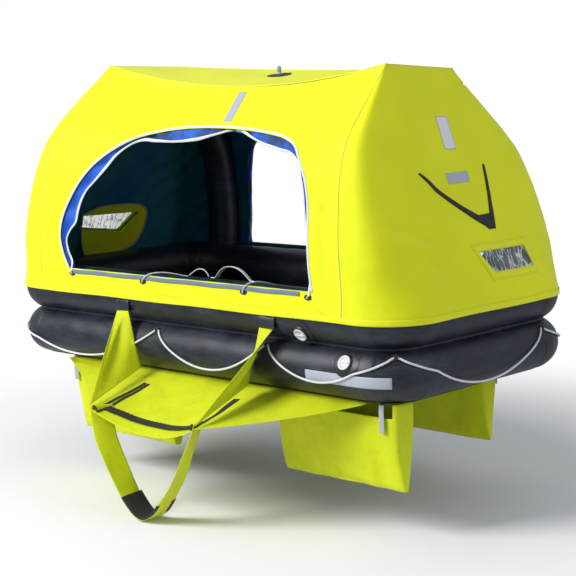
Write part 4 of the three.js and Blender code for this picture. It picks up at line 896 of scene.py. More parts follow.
rolled = np.array([(-790, 484), (-835, 560), (-845, 640), (-772, 725), (-757, 790), (-718, 865), (-640, 935),
                   (-575, 1000), (-515, 1070), (-415, 1128), (-315, 1128), (-166, 1123), (-21, 1135), (93, 1160),
                   (204, 1180), (337, 1146), (453, 1116), (568, 1094), (660, 1078), (715, 1040), (752, 975),
                   (783, 900), (808, 790), (828, 700), (840, 590), (857, 484)]) / 1000
edge_by = np.array([(-802, 483), (-850, 575), (-866, 650), (-850, 740), (-815, 810), (-765, 885), (-700, 955),
                    (-655, 1000), (-545, 1078), (-430, 1136), (-315, 1161), (-166, 1180), (-21, 1184), (93, 1185),
                    (204, 1183), (337, 1173), (453, 1162), (590, 1140), (680, 1105), (738, 1045), (790, 975),
                    (822, 895), (836, 810), (842, 700), (850, 600), (866, 483)]) / 1000
for back, name in ((False, "front"), (True, "back")):
    turn = np.array([-1 if back else 1, 1])
    facing = (0, 1 if back else -1, 0)
    arc = smooth_path(door_edge * turn, 420)
    away = np.gradient(arc, axis=0)
    away = np.stack([-away[:, 1], away[:, 0]], -1) / np.linalg.norm(away, axis=1, keepdims=True) * turn[0]
    rim = arc + 0.0055 * away
    path = side_cloth(back, rim[:, 0], rim[:, 1], 0.0022)
    build(f"{name}_door_zip_tape", [ribbon(path, facing, 0.012, 0.0024, 0.0008)], zip_tape.material,
          [f"{name}_door_zip"], weld=1e-5)
    hang = smooth_path(rolled * turn, 300)
    outer = smooth_path(edge_by * turn, 300)
    share = np.linspace(0, 1, 12)[None, :, None]
    flat = outer[:, None] * (1 - share) + hang[:, None] * share
    inward = -0.006 - 0.020 * share[..., 0] - 0.010 * np.sin(np.pi * share[..., 0])
    points = side_cloth(back, flat[..., 0], flat[..., 1], 0.0)
    points[..., 1] -= facing[1] * -inward
    gone = lengths(hang)[:, None]
    points[..., 1] -= facing[1] * 0.006 * np.sin(gone * 55 + 2 * np.sin(gone * 7)) * np.sin(np.pi * share[..., 0])
    roll_edge = build(f"{name}_door_rolled_edge", [patch(points, gone[:, 0], np.linspace(0, 0.05, 12))],
                      door_blue.material, wall=0.001)
    cloth(roll_edge, 0.038)
    tape = points[:, -1] + np.array(facing) * 0.004
    low = side_cloth(back, np.array([-0.787, 0.862]) * turn[0], np.array([0.464, 0.464]), 0.008)
    tape = smooth_path(np.concatenate([low[:1], tape[4:-4:7], low[1:]]), 380)
    wide = 0.013 + 0.003 * np.sin(lengths(tape) * 21)
    build(f"{name}_door_binding", [ribbon(tape, facing, wide, 0.0022, 0.002)], zip_tape.material,
                    weld=1e-5)

# Windows. Clear flexible sheet glued over a slanting hole in each end, framed by a sewn yellow border.
film = Paint("clear_window_sheet", {"Specular IOR Level": 0.6})
crease = (film.noise(13, 4, (1, 2.6, 0.9), 0.5) - 0.5).size()
# The creases are more opaque, and their whiter colour is a painted highlight; the glare patches are a painted
# highlight too, lighter and more opaque.
crease_and_highlight = 1 - (crease / 0.045).between(0.1, 1)
glare = film.noise(4.5, 2).between(0.45, 0.62)
film.finish(Base_Color=film.blend(crease_and_highlight * 0.8 + glare * 0.5, (0.30, 0.31, 0.30, 1), (0.88, 0.89, 0.88, 1)),
            Roughness=0.10 + 0.15 * glare, Alpha=0.34 + 0.5 * crease_and_highlight + 0.12 * glare,
            Normal=film.bump(crease, 0.010, 0.8))


def end_point(side):
    return lambda y, level, lift: end_cloth(side, q_of(side, y, level), level, lift)


def laid(at, corners, lift, nu, nv, bow=0.0, edge=False):
    """A four-cornered piece laid on a surface: an even grid between its corners, bowed by a parabola."""
    corners = np.array(corners, float) / 1000
    a, b = np.meshgrid(np.linspace(0, 1, nu), np.linspace(0, 1, nv), indexing="ij")
    spot = ((1 - a)[..., None] * (1 - b)[..., None] * corners[0] + a[..., None] * (1 - b)[..., None] * corners[1]
            + a[..., None] * b[..., None] * corners[2] + (1 - a)[..., None] * b[..., None] * corners[3])
    spot[..., 1] += bow * 4 * b * (1 - b)
    points = at(spot[..., 0], spot[..., 1], lift)
    wide, tall = np.linalg.norm(corners[1] - corners[0]), np.linalg.norm(corners[2] - corners[1])
    layers = {"edge": np.minimum(np.minimum(a, 1 - a) * wide, np.minimum(b, 1 - b) * tall)} if edge else {}
    return patch(points, a * wide, b * tall, **layers)


for side, name in ((-1, "left"), (1, "right")):
    quad = windows[side]
    middle = quad.mean(0)
    wider = middle + (quad - middle) * [1.09, 1.30]
    sheet_patch = laid(end_point(side), wider * 1000, 0.0012, 70, 30)
    crinkle = 0.0022 * ripple(sheet_patch[0], 0.05, 51) + 0.0012 * ripple(sheet_patch[0], 0.022, 52)
    sheet_patch[0][:, 0] += side * (crinkle - 0.0005)
    window = build(f"{name}_window_sheet", [sheet_patch], film.material, [f"{name}_window"])
    cloth(window, 0.155, 0.70)
    spot = between_loops(dense(quad, 30), dense(middle + (quad - middle) * [1.22, 1.75], 30), middle, 160,
                         np.array([0, 0.06, 0.3, 0.6, 0.94, 1.0]))
    y, level = spot[..., 0], spot[..., 1]
    rise = np.array([0.35, 1, 1, 1, 1, 0.35])[:, None] * 0.0042
    points = end_cloth(side, q_of(side, y, level), level, rise)
    edge = np.minimum(np.arange(6), 5 - np.arange(6))[:, None] * 0.01 + 0 * y
    y, level = np.concatenate([y, y[:, :1]], 1), np.concatenate([level, level[:, :1]], 1)
    build(f"{name}_window_frame", [patch(points, y, level, False, True, edge=edge)], yellow.material,
          wall=0.001)

# Window pocket inside the left end: bare yellow cloth shows round the window, edged with grey piping.
flap = np.array([(-267, 708), (-144, 745), (-6, 750), (150, 738), (208, 700), (214, 640), (206, 590), (167, 520),
                 (28, 470), (-98, 452), (-190, 470), (-240, 560)]) / 1000
rim = smooth_path(np.vstack([flap, flap[:1]]), 160)[:-1]
middle = windows[-1].mean(0)
spot = between_loops(dense(windows[-1], 30), rim, middle, 200, np.linspace(0, 1, 14))
points = end_cloth(-1, q_of(-1, spot[..., 0], spot[..., 1]), spot[..., 1], -0.036)
y, level = (np.concatenate([spot[..., k], spot[:, :1, k]], 1) for k in (0, 1))
build("left_window_pocket", [patch(points, y, level, False, True, edge=0.05 + 0 * spot[..., 0])],
      yellow.material, wall=0.001)
piping = Paint("grey_piping", {"Specular IOR Level": 0.3})
pipe_tone = piping.noise(70, 3)
piping.finish(Base_Color=piping.blend(pipe_tone, (0.30, 0.32, 0.36, 1), (0.48, 0.50, 0.54, 1)),
              Roughness=0.6 + 0.1 * pipe_tone, Normal=piping.bump(pipe_tone, 0.001, 0.6))
bead_path = end_cloth(-1, q_of(-1, rim[:, 0], rim[:, 1]), rim[:, 1], -0.039)
build("window_pocket_piping", [tube(bead_path, 0.0042, 10, (1, 0, 0), ring=True)], piping.material)

# Patches on the canopy: retro-reflective tapes, a bare white label, and black rain gutters whose two
# sloping arms lead into a small pocket.
silver = Paint("silver_reflective_tape", {"Metallic": 0.0, "Specular IOR Level": 0.7})
cells_u, cells_v = silver.along()
cell = (((cells_u + cells_v) * 900).sine() * ((cells_u - cells_v) * 900).sine()).size()
grey_cloud = silver.noise(14, 4)
silver.finish(Base_Color=silver.blend(grey_cloud * 0.7 + cell * 0.2, (0.52, 0.54, 0.62, 1), (0.36, 0.38, 0.44, 1)),
              Roughness=0.30 + 0.15 * grey_cloud, Normal=silver.bump(cell * 0.5 + grey_cloud, 0.0010, 0.7))
webbing = Paint("black_webbing", {"Sheen Weight": 0.08, "Sheen Roughness": 0.4})
web_u, web_v = webbing.along()
ribs = (web_u * (2 * math.pi / 0.0030)).sine() * 0.5 + (web_v * (2 * math.pi / 0.0055)).sine() * 0.5
web_tone = webbing.noise(24, 4)
webbing.finish(Base_Color=webbing.blend(web_tone, (0.0045, 0.0045, 0.0055, 1), (0.020, 0.020, 0.022, 1)),
               Roughness=0.6 + 0.2 * web_tone, Normal=webbing.bump(ribs * 0.5 + web_tone, 0.0014, 0.7))
label_paint = Paint("bare_white_label", {"Specular IOR Level": 0.5})
frame_edge = 1 - (label_paint.layer("edge") / 0.006).between(0.5, 1)
label_tone = label_paint.noise(12, 3)
label_paint.finish(Base_Color=label_paint.blend(frame_edge * 0.8 + label_tone * 0.1, (0.80, 0.80, 0.80, 1),
                                                (0.42, 0.43, 0.46, 1)),
                   Roughness=0.4 + 0.2 * label_tone, Normal=label_paint.bump(label_tone, 0.001, 0.4))


def front_point(x, z, lift):
    return side_cloth(False, x, z, lift)


build("roof_front_tape", [laid(front_point, [(92, 1212), (146, 1212), (98, 1352), (44, 1352)], 0.0016, 12, 30)],
      silver.material, ["roof_reflective_tape"], wall=0.0012)
build("right_end_tape", [laid(end_point(1), [(-98, 988), (70, 992), (66, 942), (-96, 938)], 0.0016, 30, 10)],
      silver.material, ["right_end_reflective_tape"], wall=0.0012)
build("right_end_label", [laid(end_point(1), [(-36, 1250), (50, 1250), (40, 1095), (-46, 1095)], 0.0016, 14, 26,
                               edge=True)],
      label_paint.material, ["data_label"], wall=0.001)
for side, name in ((-1, "left"), (1, "right")):
    raised = 0.045 if side < 0 else 0.0
    pieces = []
    for arm, widths in (([(-288, 996), (-190, 912), (-70, 832), (30, 775), (118, 735)], (0.016, 0.026, 0.042)),
                        ([(207, 1018), (193, 950), (176, 870), (152, 790), (128, 722)], (0.014, 0.024, 0.042))):
        line = smooth_path(np.array(arm) / 1000, 60)
        path = end_cloth(side, q_of(side, side * line[:, 0], line[:, 1] + raised), line[:, 1] + raised, 0.0028)
        share = np.linspace(0, 1, 60)
        width = np.interp(share, [0, 0.6, 1], widths) * np.interp(share, [0, 0.04, 1], [0.5, 1, 1])
        pieces.append(ribbon(path, (side * 0.95, 0, 0.3), width, 0.004, 0.001))
    corners = [(side * y, z + raised * 1000) for y, z in ((8, 784), (158, 790), (136, 716), (98, 716))]
    pocket = laid(end_point(side), corners, 0.0036, 16, 10)
    build(f"{name}_gutter", pieces + [pocket], webbing.material, [f"{name}_rain_gutter"])

# Lamp: a small grey light on a black patch, on the roof between the arches.
lamp_at = roof_cloth(np.array([0.468]), np.array([0.74]))[0]
around = np.linspace(0, 2 * np.pi, 60, endpoint=False)
rho = np.array([0, 0.3, 0.6, 0.85, 0.96, 1.0])[:, None]
uneven = 1 + 0.02 * np.sin(3 * around) + 0.012 * np.sin(7 * around)
x = lamp_at[0] + 0.064 * rho * uneven * np.cos(around)
y = lamp_at[1] + 0.064 * rho * uneven * np.sin(around)
front_y, back_y = -depth[False](apex), depth[True](apex)
base = roof_cloth((x + 0.94) / 1.885, (y - front_y) / (back_y - front_y), 0.0)
base[..., 2] += np.array([0.0048, 0.0048, 0.0046, 0.004, 0.0032, 0.0008])[:, None]
build("lamp_patch", [patch(base, np.linspace(0, 0.06, 6), np.linspace(0, 0.4, 61), False, True)], webbing.material,
      ["lamp_base"], weld=1e-6)


def turned(profile, place, axis, sides=48):
    """A turned piece: rows of (radius, height) spun about an axis that starts at a place."""
    profile = np.array(profile, float)
    axis = np.asarray(axis, float) / np.linalg.norm(axis)
    side = np.cross(axis, [1, 0, 0] if abs(axis[0]) < 0.9 else [0, 1, 0])
    side /= np.linalg.norm(side)
    other = np.cross(axis, side)
    turn = 2 * np.pi * np.arange(sides) / sides
    ring = side * np.cos(turn)[:, None] + other * np.sin(turn)[:, None]
    points = np.asarray(place) + profile[:, :1, None] * ring + profile[:, 1:, None] * axis
    v = np.linspace(0, 2 * np.pi * profile[:, 0].max(), sides + 1)
    return patch(points, lengths(profile), v, False, True)


plastic = Paint("grey_lamp_plastic", {"Coat Weight": 0.2})
lamp_tone = plastic.noise(60, 3)
plastic.finish(Base_Color=plastic.blend(lamp_tone, (0.30, 0.32, 0.34, 1), (0.42, 0.44, 0.46, 1)),
               Roughness=0.35 + 0.1 * lamp_tone, Normal=plastic.bump(lamp_tone, 0.0006, 0.4))
profile = [(0, 0), (0.017, 0), (0.019, 0.0015), (0.019, 0.005), (0.0165, 0.007), (0.0125, 0.009), (0.0118, 0.012),
           (0.0118, 0.014), (0.0108, 0.0145), (0.0108, 0.0155), (0.0118, 0.016), (0.0118, 0.034), (0.0108, 0.038),
           (0.008, 0.0415), (0.004, 0.0434), (0, 0.044)]
build("roof_lamp_body", [turned(profile, lamp_at + [0, 0, 0.0045], (0, 0, 1), 40)], plastic.material,
      ["roof_lamp"], weld=1e-6)

# Sill eyelets: oval black patches bonded over the hem, each with a knot; thin cords lace two of them
# to the tube behind the sill.
cord_paint = Paint("grey_white_cord", {"Specular IOR Level": 0.3})
ply_u, ply_v = cord_paint.along()
ply = ((ply_u * 900) + (ply_v * 1500)).sine() * 0.5 + 0.5
cord_tone = cord_paint.noise(40, 3)
cord_paint.finish(Base_Color=cord_paint.blend(cord_tone, (0.66, 0.67, 0.68, 1), (0.40, 0.41, 0.44, 1)),
                  Roughness=0.65 + 0.1 * cord_tone, Normal=cord_paint.bump(ply, 0.001, 0.7))
for k, (x0, z0) in enumerate(((-0.783, 0.458), (-0.240, 0.452), (0.450, 0.452), (0.850, 0.457))):
    rho = np.array([0.0, 0.25, 0.5, 0.75, 0.92, 1.0])[:, None]
    points = side_cloth(False, x0 + 0.024 * rho * np.cos(around), z0 + 0.0135 * rho * np.sin(around),
                        0.0015 + 0.0032 * (1 - rho ** 6) + 0 * around)
    ball = turned([(0, 0), (0.004, 0.0006), (0.0062, 0.003), (0.0058, 0.0058), (0.003, 0.0078), (0, 0.0084)],
                  side_cloth(False, np.array(x0), np.array(z0), 0.0035), (0, -1, 0), 20)
    build(f"sill_patch_{k + 1}", [patch(points, np.linspace(0, 0.02, 6), np.linspace(0, 0.12, 61), False, True)],
          webbing.material, [f"sill_eyelet_{k + 1}"], weld=1e-6)
    build(f"sill_knot_{k + 1}", [ball], cord_paint.material, weld=1e-6)
lacing = {"left": [(-0.240, -0.7050, 0.453), (-0.222, -0.7045, 0.472), (-0.196, -0.7000, 0.490),
                   (-0.160, -0.682, 0.4985), (-0.120, -0.655, 0.4990), (-0.080, -0.625, 0.4915),
                   (-0.050, -0.600, 0.4825), (-0.030, -0.585, 0.4795)],
          "right": [(0.450, -0.7050, 0.453), (0.462, -0.7045, 0.472), (0.478, -0.7000, 0.490),
                    (0.500, -0.682, 0.4985), (0.520, -0.655, 0.4990), (0.537, -0.625, 0.4915),
                    (0.548, -0.600, 0.4825), (0.555, -0.585, 0.4795)],
          "middle": [(-0.060, -0.552, 0.4795), (-0.030, -0.551, 0.498), (0.004, -0.550, 0.513),
                     (0.036, -0.549, 0.512), (0.058, -0.548, 0.498), (0.072, -0.548, 0.4795)]}
for name, stops in lacing.items():
    path = smooth_path(stops, 46)
    lace = build(f"{name}_lacing_cord", [tube(path, 0.0032, 10, (0, -0.6, 0.8))], cord_paint.material,
                 weld=1e-6)

# Boarding handle: a white webbing loop on top of the upper tube, inside the front door.
grip_base = upper_z + math.sqrt(tube_radius ** 2 - 0.022 ** 2) + 0.0015
stops = [(x, -0.548, grip_base + z) for x, z in ((0.095, 0.0012), (0.122, 0.0020), (0.150, 0.030), (0.180, 0.052),
                                                 (0.215, 0.061), (0.262, 0.058), (0.300, 0.044),
                                                 (0.335, 0.020), (0.358, 0.0020), (0.385, 0.0012))]
white_web = Paint("white_webbing", {"Sheen Weight": 0.1})
ww_u, ww_v = white_web.along()
ww = (ww_u * (2 * math.pi / 0.004)).sine() * (ww_v * (2 * math.pi / 0.006)).sine() * 0.5 + 0.5
ww_tone = white_web.noise(25, 3)
white_web.finish(Base_Color=white_web.blend(ww_tone * 0.6, (0.80, 0.80, 0.79, 1), (0.56, 0.57, 0.60, 1)),
                 Roughness=0.6 + 0.1 * ww_tone, Normal=white_web.bump(ww, 0.0012, 0.7))
path = smooth_path(stops, 70)
build("boarding_handle", [ribbon(path, (0, 0.12, 1), 0.025, 0.003, 0.001)], white_web.material,
      ["inner_handle"], weld=1e-6)

# Reflective tape on the lower tube, running under the valve's flange.
tape_x, tape_z = np.meshgrid(np.linspace(0.815, 1.19, 60), np.linspace(0.084, 0.134, 12), indexing="ij")
tape_points = on_tube(tape_x, np.arcsin((tape_z - lower_z) / tube_radius), lower_z, 0.0018)
build("tube_tape", [patch(tape_points, tape_x, tape_z)], silver.material,
      ["tube_reflective_tape"], wall=0.001)

# Lifeline: one white laid rope right round the raft. It hangs in bights between webbing loops on
# oval pads bonded to the lower tube, and its two ends meet under the first loop.
rope = Paint("white_laid_rope", {"Specular IOR Level": 0.35})
rope_tone = rope.noise(22, 4)
rope.finish(Base_Color=rope.blend(rope_tone, (0.84, 0.84, 0.83, 1), (0.55, 0.56, 0.60, 1)),
            Roughness=0.65 + 0.15 * rope_tone, Normal=rope.bump(rope.noise(500, 2, (0.4, 0.4, 1)), 0.0008, 0.6))
rope_out = tube_radius + 0.008
loop_z = 0.214
spots = np.array([-0.185, 0.556, straight_x + quarter / 2, straight_x + quarter + straight_y + 0.41])
stations = np.sort(np.concatenate([spots, spots + perimeter / 2]))
bights = np.array([0.150, 0.130, 0.168, 0.172] * 2)
rope_path, rope_facing = [], []
for start, stop, bight in zip(stations, np.append(stations[1:], stations[0] + perimeter), bights):
    t = np.linspace(0, 1, int((stop - start) / 0.006))[:-1, None]
    held = 0.009 / (stop - start)
    k = np.clip((t - held) / (1 - 2 * held), 0, 1)
    z = loop_z - bight * (4 * k * (1 - k)) ** 0.9
    centre, out = outline(start + (stop - start) * t[:, 0])
    away = np.where(z > lower_z, np.sqrt(np.maximum(rope_out ** 2 - (z - lower_z) ** 2, 0)), rope_out)
    rope_path.append(centre + out * away + [0, 0, 1] * z)
    rope_facing.append(out)
rope_path, rope_facing = np.concatenate(rope_path)[:-1], np.concatenate(rope_facing)[:-1]
line = build("lifeline_rope", [tube(rope_path, 0.005, 12, rope_facing, strands=3, pitch=0.042, relief=0.07)],
             rope.material, ["lifeline"], weld=1e-6)
for i, s in enumerate(stations):
    bent = 1.85 if i % 4 == 2 else 1.0
    half_pad = 0.044 if i % 4 < 2 else 0.028
    rise = math.asin((loop_z - lower_z) / rope_out)
    rho = np.array([0.0, 0.3, 0.6, 0.85, 0.96, 1.0])[:, None]
    pad = on_tube(s + half_pad / bent * rho * np.cos(around), rise + 0.025 / tube_radius * rho * np.sin(around),
                  lower_z, 0.0008 + 0.0022 * (1 - rho ** 8) + 0 * around)
    centre, out = outline(np.array([s]))
    up = out[0] * math.cos(rise) + np.array([0, 0, math.sin(rise)])
    along = np.cross([0, 0, 1], out[0])
    across = np.cross(up, along)
    b = np.linspace(0, np.pi, 15)
    over = np.concatenate([[0.0126], 0.0092 * 1.15 * np.cos(b), [-0.0126]])[:, None]
    high = np.concatenate([[tube_radius + 0.002], rope_out + 0.0092 * np.sin(b), [tube_radius + 0.002]])[:, None]
    bridge = centre[0] + [0, 0, lower_z] + up * high + across * over
    facing = across * over + up * (high - rope_out + 0.004)
    build(f"rope_loop_{i + 1}", [patch(pad, np.linspace(0, half_pad, 6), np.linspace(0, 0.2, 61), False, True),
                                 ribbon(bridge, facing, 0.016, 0.0018)],
          webbing.material, [f"lifeline_loop_{i + 1}"], weld=1e-6)

# Valves: a black moulded socket on a bonded flange in each tube, shut by a white cap with a finger bar.
moulded = Paint("black_moulding", {"Specular IOR Level": 0.5})
moulded_tone = moulded.noise(50, 3)
moulded.finish(Base_Color=moulded.blend(moulded_tone, (0.006, 0.007, 0.009, 1), (0.020, 0.022, 0.026, 1)),
               Roughness=0.34 + 0.15 * moulded_tone, Normal=moulded.bump(moulded_tone, 0.0006, 0.4))
cap_paint = Paint("white_cap_plastic", {"Coat Weight": 0.1})
cap_tone = cap_paint.noise(40, 3)
cap_paint.finish(Base_Color=cap_paint.blend(cap_tone, (0.78, 0.78, 0.77, 1), (0.62, 0.63, 0.64, 1)),
                 Roughness=0.38 + 0.12 * cap_tone, Normal=cap_paint.bump(cap_tone, 0.0005, 0.4))
for name, x, z, tube_z in (("upper", 0.780, 0.289, upper_z), ("lower", 1.042, 0.181, lower_z)):
    rise = math.asin((z - tube_z) / tube_radius)
    axis = np.array([0, -math.cos(rise), math.sin(rise)])
    at = np.array([x, -(raft_width / 2 - tube_radius), tube_z])
    rho = np.array([0.3, 0.6, 0.85, 0.96, 0.99, 1.0])[:, None]
    flange = on_tube(x + 0.064 * rho * np.cos(around), rise + 0.064 / tube_radius * rho * np.sin(around), tube_z,
                     0.0022 + 0.0014 * (1 - rho ** 10) + 0 * around)
    ring = turned([(0, 0.1215), (0.0235, 0.1215), (0.0248, 0.1225), (0.025, 0.1285), (0.0262, 0.130),
                   (0.0362, 0.130), (0.038, 0.1285), (0.0382, 0.123), (0.0400, 0.1205), (0.0460, 0.1180)],
                  at, axis, 48)
    build(f"{name}_valve_socket", [patch(flange, np.linspace(0.02, 0.064, 6), np.linspace(0, 0.4, 61), False, True),
                                   ring], moulded.material, [f"{name}_valve_base"], weld=1e-6)
    cap = turned([(0, 0.1305), (0.0295, 0.1305), (0.0322, 0.1312), (0.033, 0.1325), (0.033, 0.1345),
                  (0.0318, 0.1357), (0.0290, 0.1360), (0.0265, 0.1350), (0.0262, 0.1345), (0, 0.1345)], at, axis, 48)
    bar_path = at + axis * 0.1365 + np.outer(np.linspace(-0.0265, 0.0265, 12), [1, 0, 0])
    build(f"{name}_valve_screw_cap", [cap, ribbon(bar_path, axis, 0.006, 0.0048)], cap_paint.material,
          [f"{name}_valve_cap"], f"{name}_cap", weld=1e-6)

# Boarding ramp: an apron of yellow cloth bonded under the front of the floor, with doubled black
# webbing stitched to its two corners and an arc of webbing across.
apron = Paint("apron_yellow_cloth", {"Sheen Weight": 0.1, "Sheen Roughness": 0.4, "Specular IOR Level": 0.3})
apron_cloud = apron.noise(5, 4)
apron_crease_and_shade = apron.noise(26, 5)
apron_colour = apron.blend(apron_cloud.between(0.35, 0.7), (0.58, 0.66, 0.002, 1), (0.70, 0.76, 0.004, 1))
# Painted shade: the darker olive is mixed in along the crease pattern, which also drives the bump and roughness.
apron.finish(Base_Color=apron.blend(apron_crease_and_shade.between(0.55, 0.8) * 0.35, apron_colour, (0.34, 0.40, 0.002, 1)),
             Roughness=0.5 + 0.2 * apron_crease_and_shade,
             Normal=apron.bump(weave(apron) * 0.15 + apron_crease_and_shade, 0.0028, 0.7))


def ramp_point(u, v, lift=0.0):
    """Apron from its root under the floor (v = 0) to its free edge (v = 1): the edge is a hanging parabola
    between the two corners and a straight run with a sag from each corner back to the hull."""
    u, v = np.broadcast_arrays(np.asarray(u, float), np.asarray(v, float))
    e = 2 * u - 1
    side, a = np.sign(e), np.abs(e)
    t, w = np.clip(a / 0.36, 0, 1), np.clip((a - 0.36) / 0.64, 0, 1)
    drop, sag = 1 - t * t, 0.19 * w * (1 - w)
    edge = np.stack([0.09 + side * (0.362 * t + 0.638 * w), -1.040 + 0.044 * drop + 0.4 * w + 0.9 * sag,
                     -0.125 - 0.092 * drop + 0.121 * w - 0.35 * sag], -1)
    root = np.stack([0.09 + e, -0.577 + 0 * e, -0.0022 + 0 * e], -1)
    point = root + (edge - root) * v[..., None]
    slack = 0.0035 * ripple(point, 0.16, 61) * np.sin(np.pi * np.clip(v, 0, 1))
    point[..., 2] += -0.034 * v * (1 - v) * np.sin(np.pi * u) + slack + lift
    return point


u, v = np.meshgrid(np.linspace(0, 1, 170), np.linspace(0, 1, 56), indexing="ij")
ramp = build("boarding_ramp_cloth", [patch(ramp_point(u, v), u * 2, v * 0.46)], apron.material,
             ["boarding_ramp"], wall=0.0022)
cloth(ramp, 2.0, 0.68)
bands = []
for start, stop in ((0.344, 0.331), (0.656, 0.669)):
    for shift in (-0.0055, 0.0055):
        t = np.linspace(0, 1, 60)
        path = ramp_point(start + (stop - start) * t + shift, 0.30 + 0.685 * t, 0.0030)
        bands.append(ribbon(path, (0, -0.25, 1), 0.019, 0.002, 0.0008))
t = np.linspace(0, 1, 110)
path = ramp_point(0.338 + 0.324 * t, 0.86 - 0.04 * 4 * t * (1 - t), 0.0055)
bands.append(ribbon(path, (0, -0.25, 1), 0.046 + 0.003 * np.sin(t * 160), 0.002, 0.0008))
for u0 in (0.331, 0.669):
    corner = ramp_point(np.array(u0), np.array(0.975), 0.004)
    hoop = np.array([(-0.014, 0, 0), (-0.010, -0.003, 0.012), (0, -0.004, 0.019),
                     (0.010, -0.003, 0.012), (0.014, 0, 0)])
    bands.append(ribbon(corner + smooth_path(hoop, 16), (0, -1, 0.2), 0.012, 0.002))
build("ramp_straps", bands, webbing.material, ["ramp_webbing"], weld=1e-6)

# Side webs: two tapering yellow straps hold the ramp's corners to patches on the upper tube. They
# bulge over the lifeline where it passes behind them.
front = (rope_path[:, 1] < -0.69) & (np.abs(rope_path[:, 0]) < 0.8)
order = np.argsort(rope_path[front, 0])
rope_x, rope_z = rope_path[front, 0][order], rope_path[front, 2][order]
for side, name in ((-1, "left"), (1, "right")):
    def spot(d, y, z):
        return np.array([0.09 + side * d, y, z])

    a, b = np.meshgrid(np.linspace(0, 1, 22), np.linspace(0, 1, 80), indexing="ij")
    a3, b3 = a[..., None], b[..., None]
    top = spot(0.535, -0.6935, 0.293) * (1 - a3) + spot(0.452, -0.6935, 0.296) * a3
    low = spot(0.368, -1.036, -0.109) * (1 - a3) + spot(0.372, -0.6935, 0.022) * a3
    points = top * (1 - b3) + low * b3
    points[..., 0] += side * (0.026 * np.sin(np.pi * a) * np.sin(np.pi * b)
                              + 0.010 * np.sin(3 * np.pi * a + 5 * b) * np.sin(np.pi * b) * np.sin(np.pi * a))
    over = np.exp(-((points[..., 2] - np.interp(points[..., 0], rope_x, rope_z)) / 0.016) ** 2)
    points[..., 1] = np.minimum(points[..., 1], -0.6935 - 0.0125 * over)
    web = build(f"{name}_web", [patch(points, a * 0.2, b * 0.45)], apron.material,
                [f"{name}_ramp_web"], wall=0.002)
    cloth(web, 0.37, 0.36)
    pad = np.array([(-0.688, 0.353), (-0.6935, 0.348), (-0.6955, 0.335), (-0.6960, 0.318), (-0.6958, 0.303),
                    (-0.6920, 0.2935), (-0.6760, 0.291)])
    x = np.linspace(0.09 + side * 0.445, 0.09 + side * 0.548, 14)[:, None]
    points = np.stack([x + 0 * pad[:, 0], pad[:, 0] + 0 * x, pad[:, 1] + 0.002 * np.sin(x * 60)], -1)
    pad_patch = patch(points, x[:, 0], lengths(pad))
    pad_patch[3]["band"] = np.zeros(len(pad_patch[0]))
    build(f"{name}_web_pad", [pad_patch], rubber.material, [f"{name}_web_patch"], wall=0.0025)

# Boarding stirrup: a wide yellow band hangs from the ramp's corners, with a stitched black foot pad.
stops = np.array([(-338, -984, 22), (-326, -992, -30), (-286, -1006, -130), (-192, -1008, -290), (-96, -1002, -415),
                  (-40, -1000, -462), (0, -1000, -474), (44, -1000, -462), (98, -1002, -415), (190, -1008, -290),
                  (284, -1006, -130), (326, -992, -30), (338, -984, 22)]) / 1000 + [0.09, 0, -0.131]
path = smooth_path(stops, 150)
t = np.linspace(-1, 1, 150)
facing = np.stack([-0.9 * np.sin(1.1 * t), -0.35 * np.abs(t), np.cos(1.1 * t)], -1)
across = np.linspace(-0.056, 0.056, 17)
twist = 0.006 * np.sin(t * 9)[:, None] * (across / 0.056) ** 2 * (1 - np.abs(t[:, None]) ** 4)
section = np.stack([across + 0 * twist, 0.004 * np.cos(across * 20) + twist], -1)
stirrup = build("stirrup_band", [patch(carried(path, section, facing), lengths(path), across)], apron.material,
                ["boarding_stirrup"], wall=0.0026)
cloth(stirrup, 0.112)
middle_part = slice(56, 94)
build("foot_pad", [ribbon(path[middle_part] + [0, 0, 0.009], facing[middle_part], 0.128, 0.008, 0.004)],
      webbing.material, ["stirrup_foot_pad"], weld=1e-6)

